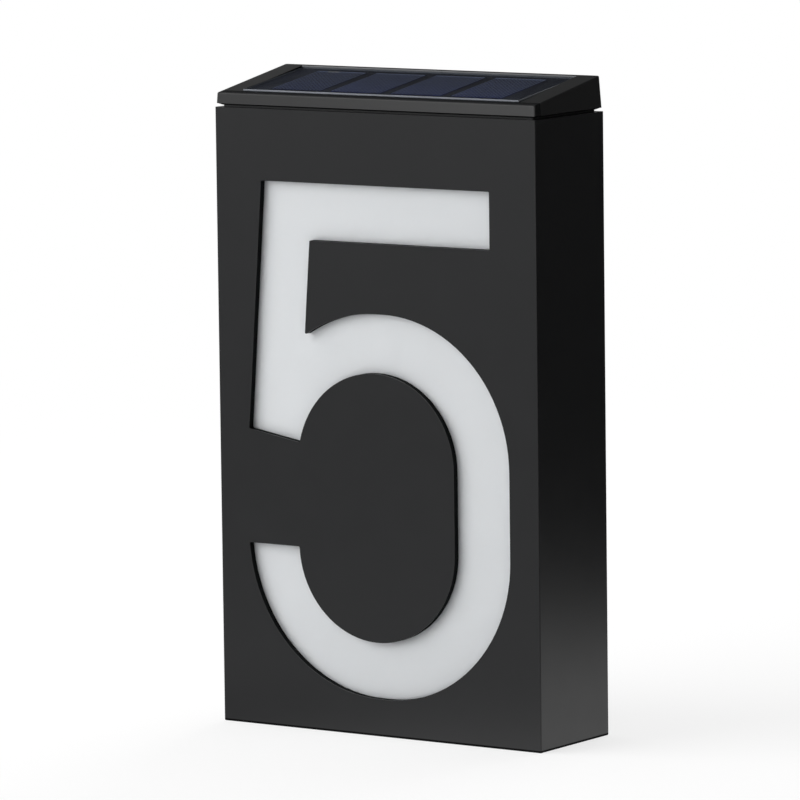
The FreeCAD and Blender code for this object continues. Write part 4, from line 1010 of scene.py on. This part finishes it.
@dataclass
class CapModule:
    """The cap's frame and the neck under it."""

    panel_gap: float = 0.1 * MM
    wall_rise: float = 2.0 * MM
    seal_steps: int = 20
    seal_depth: float = 0.9 * MM
    seal_squareness: float = 0.6
    seal_corner: float = 0.9 * MM
    corner_steps: int = 8

    def build(self) -> None:
        """Make and dress the cap's and the neck's pieces."""
        front, rear = corners_of("panel_cover")
        # The cap's plastic carries painted shade and a painted highlight round the panel's window.
        dress(CapPlastic("cap_satin", (0.0090, 0.0093, 0.0098), roughness=0.34, gloss=0.95,
                         front_y=front[1] - self.panel_gap, wall_y=rear[1] + self.panel_gap,
                         wall_x=rear[0] + self.panel_gap,
                         wall_z=corners_of("cap_shell")[0][2] + self.wall_rise), "cap_shell")
        dress(Plastic("neck_matt", (0.016, 0.0165, 0.017), roughness=0.5, grain=0.5 * MM,
                      depth=0.008 * MM), "module_base")
        dress(Metal("steel_screw", (0.58, 0.58, 0.57)), "module_screws")
        self.seal()

    def seal(self) -> None:
        """Replace the plain seal by one with a rounded outer lip.

        Its profile, signed powers of a circle's cosine and sine, is carried along the outline, a
        rectangle with round corners.
        """
        low, high = corners_of("neck_seal")
        turn = np.linspace(0, FULL_TURN, self.seal_steps, endpoint=False)
        out, up = signed_power(np.stack([np.cos(turn), np.sin(turn)]), self.seal_squareness)
        inwards = ((out - 1) * self.seal_depth / 2)[:, None]
        upwards = (up * (high[2] - low[2]) / 2)[:, None]
        quarters = np.arange(4)[:, None] * np.pi / 2
        corner = quarters + np.linspace(0, np.pi / 2, self.corner_steps + 1)
        away = np.stack([np.cos(corner), np.sin(corner)], axis=-1)
        sides = np.array([[1, 1], [-1, 1], [-1, -1], [1, -1]])[:, None]
        line = sides * (high[:2] - self.seal_corner) + self.seal_corner * away
        flat = line.reshape(-1, 1, 2) + inwards * away.reshape(-1, 1, 2)
        points = np.concatenate([flat, np.broadcast_to(upwards, (*flat.shape[:2], 1))], axis=-1)
        ring = surfaces("seal_lip", points[None] + (low + high) / 2, ring=True)
        rubber = Rubber("seal_rubber", (0.014, 0.014, 0.015)).material()
        add_piece(ring, Body.CAP, rubber, Slot.SEAL, "neck_seal")


@dataclass
class LampStrip:
    """The strip with its lamps, lens and circuit."""

    phosphor_radius: float = 1.05 * MM
    phosphor_rise: float = 0.16 * MM
    phosphor_steps: int = 12
    core_radius: float = 1.7 * MM
    winding_wire: float = 0.14 * MM
    winding_turns: int = 9
    winding_pitch: float = 2.06
    winding_steps: int = 24
    wire_sides: int = 10

    def build(self) -> None:
        """Make and dress the strip's pieces."""
        dress(SolderMask("white_lacquer"), "led_strip")
        dress(Plastic("lamp_white", (0.72, 0.72, 0.68), roughness=0.35, drift=0.02), "leds")
        dress(ClearCover("frosted_lens", milk=(0.66, 0.68, 0.70), milk_share=0.5, shine=0.4),
              "led_lens")
        dress(Metal("small_screw", (0.58, 0.58, 0.57)), "strip_screws")
        dress(Plastic("chip_black", (0.013, 0.013, 0.014), roughness=0.5, grain=0.2 * MM),
              "driver_chip")
        dress(Plastic("ferrite", (0.022, 0.021, 0.020), roughness=0.6, grain=0.15 * MM),
              "inductor")
        dress(Metal("bright_can", (0.68, 0.69, 0.70), roughness=0.25, scratch_axis=Axis.Z),
              "capacitor")
        self.phosphors()
        self.winding()

    def phosphors(self) -> None:
        """A yellow dome under every lamp.

        Its radius falls as the cosine and its drop rises as the sine of one angle, and a flat disc
        closes it on top.
        """
        points = node_points("leds")
        low, high = points.min(0), points.max(0)
        edges = np.unique(np.round(points[:, 0] / MM, 3)) * MM
        x = (edges[::2] + edges[1::2]) / 2
        centres = np.stack([x, 0 * x + (low[1] + high[1]) / 2, 0 * x + low[2]], axis=1)
        angle = np.linspace(0, np.pi / 2, self.phosphor_steps)
        radius = self.phosphor_radius * np.concatenate([[0.0], np.cos(angle)])[:, None]
        drop = self.phosphor_rise * np.concatenate([[0.0], np.sin(angle)])[:, None]
        turn = np.linspace(0, FULL_TURN, 2 * self.phosphor_steps, endpoint=False)
        unit = np.stack([radius * np.cos(turn), radius * np.sin(turn), 0 * turn - drop], axis=-1)
        made = surfaces("lamp_phosphors", centres[:, None, None, :] + unit)
        yellow = Plastic("phosphor", (0.78, 0.60, 0.12), roughness=0.3, grain=0.2 * MM,
                         drift=0.04).material()
        add_piece(made, Body.CAP, yellow, Slot.LAMP)

    def winding(self) -> None:
        """Copper wire wound on the inductor's core.

        Its middle line goes round at one radius and rises by one pitch per turn, and a circle is
        carried along it.
        """
        low, high = corners_of("inductor")
        wire, turns, sides = self.winding_wire, self.winding_turns, self.wire_sides
        t, u = np.meshgrid(np.linspace(0, FULL_TURN * turns, turns * self.winding_steps + 1),
                           np.linspace(0, FULL_TURN, sides, endpoint=False), indexing="ij")
        out = self.core_radius + wire + wire * np.cos(u)
        rise = self.winding_pitch * wire * (t / FULL_TURN - turns / 2) + wire * np.sin(u)
        tube = np.stack([out * np.cos(t), out * np.sin(t), rise], axis=-1) + (low + high) / 2
        ends = np.broadcast_to(tube[[0, -1]].mean(axis=1, keepdims=True), (2, sides, 3))
        made = surfaces("choke_winding", np.concatenate([ends[:1], tube, ends[1:]])[None])
        copper = Metal("enamelled_copper", (0.60, 0.27, 0.12), scratch_axis=Axis.Z).material()
        add_piece(made, Body.CAP, copper, Slot.COPPER)


@dataclass
class BatteryBay:
    """The small round cell, its contacts and the hinged door with its raised + and - marks."""

    ring_inset: float = 9.0 * MM
    button_length: float = 1.0 * MM
    mark_length: float = 4.0 * MM
    mark_width: float = 0.8 * MM
    mark_height: float = 0.25 * MM
    mark_inset: float = 5.0 * MM

    def build(self) -> None:
        """Make and dress the bay's pieces."""
        end = corners_of("battery")[1][0]
        dress(BatteryWrap("battery_wrap", ring_x=end - self.ring_inset,
                          end_x=end - self.button_length), "battery")
        dress(Metal("nickel", (0.66, 0.65, 0.61), roughness=0.22, scratch_axis=Axis.Z),
              "positive_contact", "negative_contact")
        matt = dress(Plastic("door_matt", (0.019, 0.0195, 0.020), roughness=0.52,
                             grain=0.45 * MM, depth=0.008 * MM), "battery_door")
        add_piece(self.marks(), Body.DOOR, matt, Slot.NECK)
        dress(Metal("pin_steel", (0.62, 0.62, 0.61)), "door_hinge_pin")

    def marks(self) -> Object:
        """Raised marks under the door: a bar with two arms by the battery's button, and a bar by
        its flat end.

        Returns:
            One object that holds the bars and the arms.
        """
        low, high = corners_of("battery_door")
        middle = [0.0, (low[1] + high[1]) / 2, corners_of("led_lens")[0][2]]
        plus, minus = high[0] - self.mark_inset, low[0] + self.mark_inset
        arm = (self.mark_length - self.mark_width) / 2
        away = (self.mark_width + arm) / 2
        centres = np.array([[plus, 0, 0], [plus, -away, 0], [plus, away, 0], [minus, 0, 0]])
        bar = [self.mark_length / 2, self.mark_width / 2, self.mark_height]
        side = [self.mark_width / 2, arm / 2, self.mark_height]
        return slabs("door_marks", centres + middle, np.array([bar, side, side, bar]), np.eye(3))


@dataclass
class SlideSwitch:
    """The slide switch in the neck's floor."""

    knob_squareness: float = 0.16
    knob_steps: int = 40
    ridges: int = 3
    ridge_height: float = 0.18 * MM
    ridge_zone: float = 0.4

    def build(self) -> None:
        """Make and dress the switch's pieces."""
        dress(Metal("switch_tin", (0.60, 0.60, 0.58), roughness=0.35), "switch_body")
        dress(Metal("switch_screw", (0.58, 0.58, 0.57)), "switch_screws")
        self.knob()

    def knob(self) -> None:
        """Replace the plain slider by one with rounded edges, whose underside rises between its
        ridges as the cosine of X times the fourth power of the depth into its lowest zone.
        """
        low, high = corners_of("switch_knob")
        middle, half = (low + high) / 2, (high - low) / 2
        knob = rounded_boxes("ridged_knob", middle[None], half, self.knob_squareness,
                             self.knob_steps)
        points = points_of(knob.data)
        zone_top = middle[2] - (1 - self.ridge_zone) * half[2]
        depth_share = np.clip((zone_top - points[:, 2]) / (self.ridge_zone * half[2]), 0, 1)
        turn = FULL_TURN * self.ridges * (points[:, 0] - low[0]) / (2 * half[0])
        points[:, 2] += depth_share ** 4 * (0.5 + 0.5 * np.cos(turn)) * self.ridge_height
        knob.data.vertices.foreach_set("co", points.ravel())
        knob.data.update()
        nylon = Plastic("black_nylon", (0.014, 0.014, 0.015), grain=0.2 * MM).material()
        add_piece(knob, Body.KNOB, nylon, Slot.KNOB, "switch_knob")


@dataclass
class Wiring:
    """The four short wires in the neck."""

    red: Colour = (0.42, 0.018, 0.015)
    black: Colour = (0.014, 0.014, 0.015)

    def build(self) -> None:
        """Dress the wires."""
        dress(WireJacket("red_jacket", self.red), "panel_wire_red", "battery_wire_red")
        dress(WireJacket("black_jacket", self.black), "panel_wire_black", "battery_wire_black")


# ---- Studio ----
LEFT_FRONT = (-0.566, -0.825, 0.0)
LEFT_BACK = (-0.566, 0.825, 0.0)
RIGHT_BACK = (0.825, 0.566, 0.0)
WHITE = (1.0, 1.0, 1.0)


@dataclass(frozen=True)
class Softbox:
    """A rectangular lamp that faces the object and that nothing mirrors."""

    name: str
    place: Sequence[float]
    size: Pair
    power: float
    target: Sequence[float] = (0.0, 0.0, 0.09)

    def build(self) -> None:
        """Add the lamp."""
        lamp = bpy.data.lights.new(self.name, "AREA")
        lamp.shape = "RECTANGLE"
        lamp.size, lamp.size_y = self.size
        lamp.energy = self.power
        made = placed(self.name, lamp)
        made.location = self.place
        ahead = Vector(self.target) - Vector(self.place)
        made.rotation_euler = ahead.to_track_quat("-Z", "Y").to_euler()
        made.visible_glossy = False


@dataclass(frozen=True)
class StudioFloor(Finish):
    """A matt pale floor that the camera sees white but for the object's shadow.

    What mirrors it sees it bright near the object's right rear corner and in front, and dim
    elsewhere. From below it is clear.
    """

    colour: Colour = (0.86, 0.86, 0.86)
    gloss: float = 0.02
    glow_centre: Pair = (0.09, 0.05)
    glow_peak: float = 0.92
    glow_reach: Pair = (0.05, 0.26)
    front_edge: Pair = (0.03, 0.12)
    front_near: float = 0.49
    front_far: float = 0.22
    front_fall: Pair = (0.1, 0.5)
    front_horizon: float = 0.47
    horizon_rise: Pair = (1.0, 2.2)
    shadow_share: float = 0.27
    shadow_reach: Pair = (0.25, 0.9)

    def shader(self, graph: Graph) -> Signal:
        """The finish's shader.

        Args:
            graph: The material's graph.

        Returns:
            The shader.
        """
        camera, glossy = graph.ray(Ray.CAMERA), graph.ray(Ray.GLOSSY)
        grey, white = (graph.node("BsdfDiffuse", None, {"Color": colour})
                       for colour in (self.colour, WHITE))
        glow, mirrored = (graph.node("Emission", None, {"Strength": strength})
                          for strength in (1.0, self.mirrored(graph)))
        shaded = self.shadow_share * graph.fade(graph.away(), *self.shadow_reach)
        seen = graph.layered(camera * (1 - shaded), graph.layered(camera, grey, white), glow)
        below = graph.node("NewGeometry", out="Backfacing")
        clear = graph.node("BsdfTransparent")
        return graph.layered(below, graph.layered(glossy, seen, mirrored), clear)

    def mirrored(self, graph: Graph) -> Signal:
        """How bright the floor is in reflections.

        Args:
            graph: The material's graph.

        Returns:
            The strength.
        """
        near = graph.fade(graph.away(*self.glow_centre), *self.glow_reach)
        glow = self.gloss + (self.glow_peak - self.gloss) * near
        ahead = graph.along(graph.place(), LEFT_FRONT)
        fall = (self.front_near - self.front_far) * graph.smooth(ahead, *self.front_fall)
        rise = (self.front_horizon - self.front_far) * graph.smooth(ahead, *self.horizon_rise)
        front = graph.smooth(ahead, *self.front_edge) * (self.front_near - fall + rise)
        return graph.most(glow, front)


@dataclass
class Studio:
    """A pale floor that turns white for the camera, soft lamps and a plain world.

    In reflections the world is dark but for bands: one along the horizon, dim behind and dark on
    the right, a taller one on the left in front, a dim one on the left behind, and a dim zenith.
    """

    lamps: tuple[Softbox, ...] = (
        Softbox("key_softbox", (-1.0, -1.1, 0.75), (1.6, 1.4), 27.0),
        Softbox("top_softbox", (-0.35, 0.2, 1.6), (2.0, 1.2), 13.5),
        Softbox("back_softbox", (-0.1, 1.7, 0.8), (1.2, 1.2), 14.0))
    world_level: float = 0.15
    band_level: float = 1.25
    dark_level: float = 0.02
    horizon_band: Pair = (0.05, 0.24)
    horizon_right: Pair = (0.35, 0.75)
    behind_share: float = 0.4
    behind_reach: Pair = (0.3, 0.8)
    tall_band: Pair = (0.45, 1.00)
    tall_reach: Pair = (0.1, 0.5)
    back_band: Pair = (0.22, 0.50)
    back_level: float = 0.14
    zenith_level: float = 0.24
    zenith_reach: Pair = (0.60, 0.90)
    left_fall: float = 0.7
    left_reach: Pair = (-0.975, -0.88)
    floor_size: float = 6.0
    floor_drop: float = 0.05 * MM

    def build(self) -> None:
        """Make the world, the floor and the lamps."""
        self.world()
        self.floor()
        for lamp in self.lamps:
            lamp.build()
        LOG.info("made the studio")

    def world(self) -> None:
        """White to the camera, bands to what mirrors it and soft grey light to all else."""
        world = bpy.data.worlds.new("studio")
        world.use_nodes = True
        bpy.context.scene.world = world
        graph = Graph(world.node_tree)
        camera, glossy, through = (graph.ray(kind) for kind in Ray)
        level = camera + (1 - camera) * (glossy * self.mirrored(graph) + through
                                         + (1 - glossy - through) * self.world_level)
        background = graph.node("Background", None, {"Color": WHITE, "Strength": level})
        graph.finish(background, "OutputWorld")

    def mirrored(self, graph: Graph) -> Signal:
        """How bright the world is in reflections.

        Args:
            graph: The world's graph.

        Returns:
            The level.
        """
        way = graph.node("TexCoord", out="Generated")
        rise = graph.axis(Axis.Z, way)
        aside, ahead, behind = (graph.along(way, side)
                                for side in (RIGHT_BACK, LEFT_FRONT, LEFT_BACK))
        back = graph.smooth(behind, *self.behind_reach)
        band = graph.fade(rise, *self.horizon_band) * graph.fade(aside, *self.horizon_right)
        tall = graph.fade(rise, *self.tall_band) * graph.smooth(ahead, *self.tall_reach)
        low = self.back_level * graph.fade(rise, *self.back_band) * back
        band = graph.most(band * (1 - self.behind_share * back), graph.most(tall, low))
        band = band * (1 - self.left_fall * graph.fade(aside, *self.left_reach))
        zenith = self.zenith_level * graph.smooth(rise, *self.zenith_reach)
        return graph.most(self.dark_level + band * (self.band_level - self.dark_level), zenith)

    def floor(self) -> None:
        """A level plate just under the object."""
        corners = np.array([[-1, -1, 0], [1, -1, 0], [1, 1, 0], [-1, 1, 0]]) * self.floor_size / 2
        plate = add_mesh("floor", corners - [0.0, 0.0, self.floor_drop], np.arange(4)[None],
                         smooth=False)
        plate.data.materials.append(StudioFloor("pale_floor").material())


@dataclass(frozen=True)
class PhotoCamera:
    """The camera at the photograph's place, from a fit to the box's edges."""

    azimuth: float = 34.4504
    elevation: float = 7.0349
    roll: float = -0.7061
    distance: float = 1974.8 * MM
    aim: Sequence[float] = (0.0, 0.0, 91.0 * MM)
    slide_right: float = -3.3128 * MM
    slide_up: float = 5.8301 * MM
    lens: float = 304.46

    def build(self) -> None:
        """Add the camera and make it the scene's."""
        turn, tilt, lean = map(math.radians, (self.azimuth, self.elevation, self.roll))
        axes = (Matrix.Rotation(turn, 4, "Z") @ Matrix.Rotation(math.pi / 2 - tilt, 4, "X")
                @ Matrix.Rotation(lean, 4, "Z"))
        place = Vector(self.aim) + axes @ Vector((self.slide_right, self.slide_up, self.distance))
        lens = bpy.data.cameras.new("photo_camera")
        lens.sensor_fit = "HORIZONTAL"
        lens.lens = self.lens
        made = placed("photo_camera", lens)
        made.matrix_world = Matrix.Translation(place) @ axes
        bpy.context.scene.camera = made


def main() -> None:
    """Build every sub-assembly, the studio and the camera."""
    logging.basicConfig(level=logging.INFO, format="%(name)s: %(message)s")
    bpy.context.scene.view_settings.view_transform = "Standard"
    for assembly in (Housing(), SolarPanel(), CapModule(), LampStrip(), BatteryBay(), SlideSwitch(),
                     Wiring()):
        assembly.build()
    Studio().build()
    PhotoCamera().build()


if __name__ == "__main__":
    main()
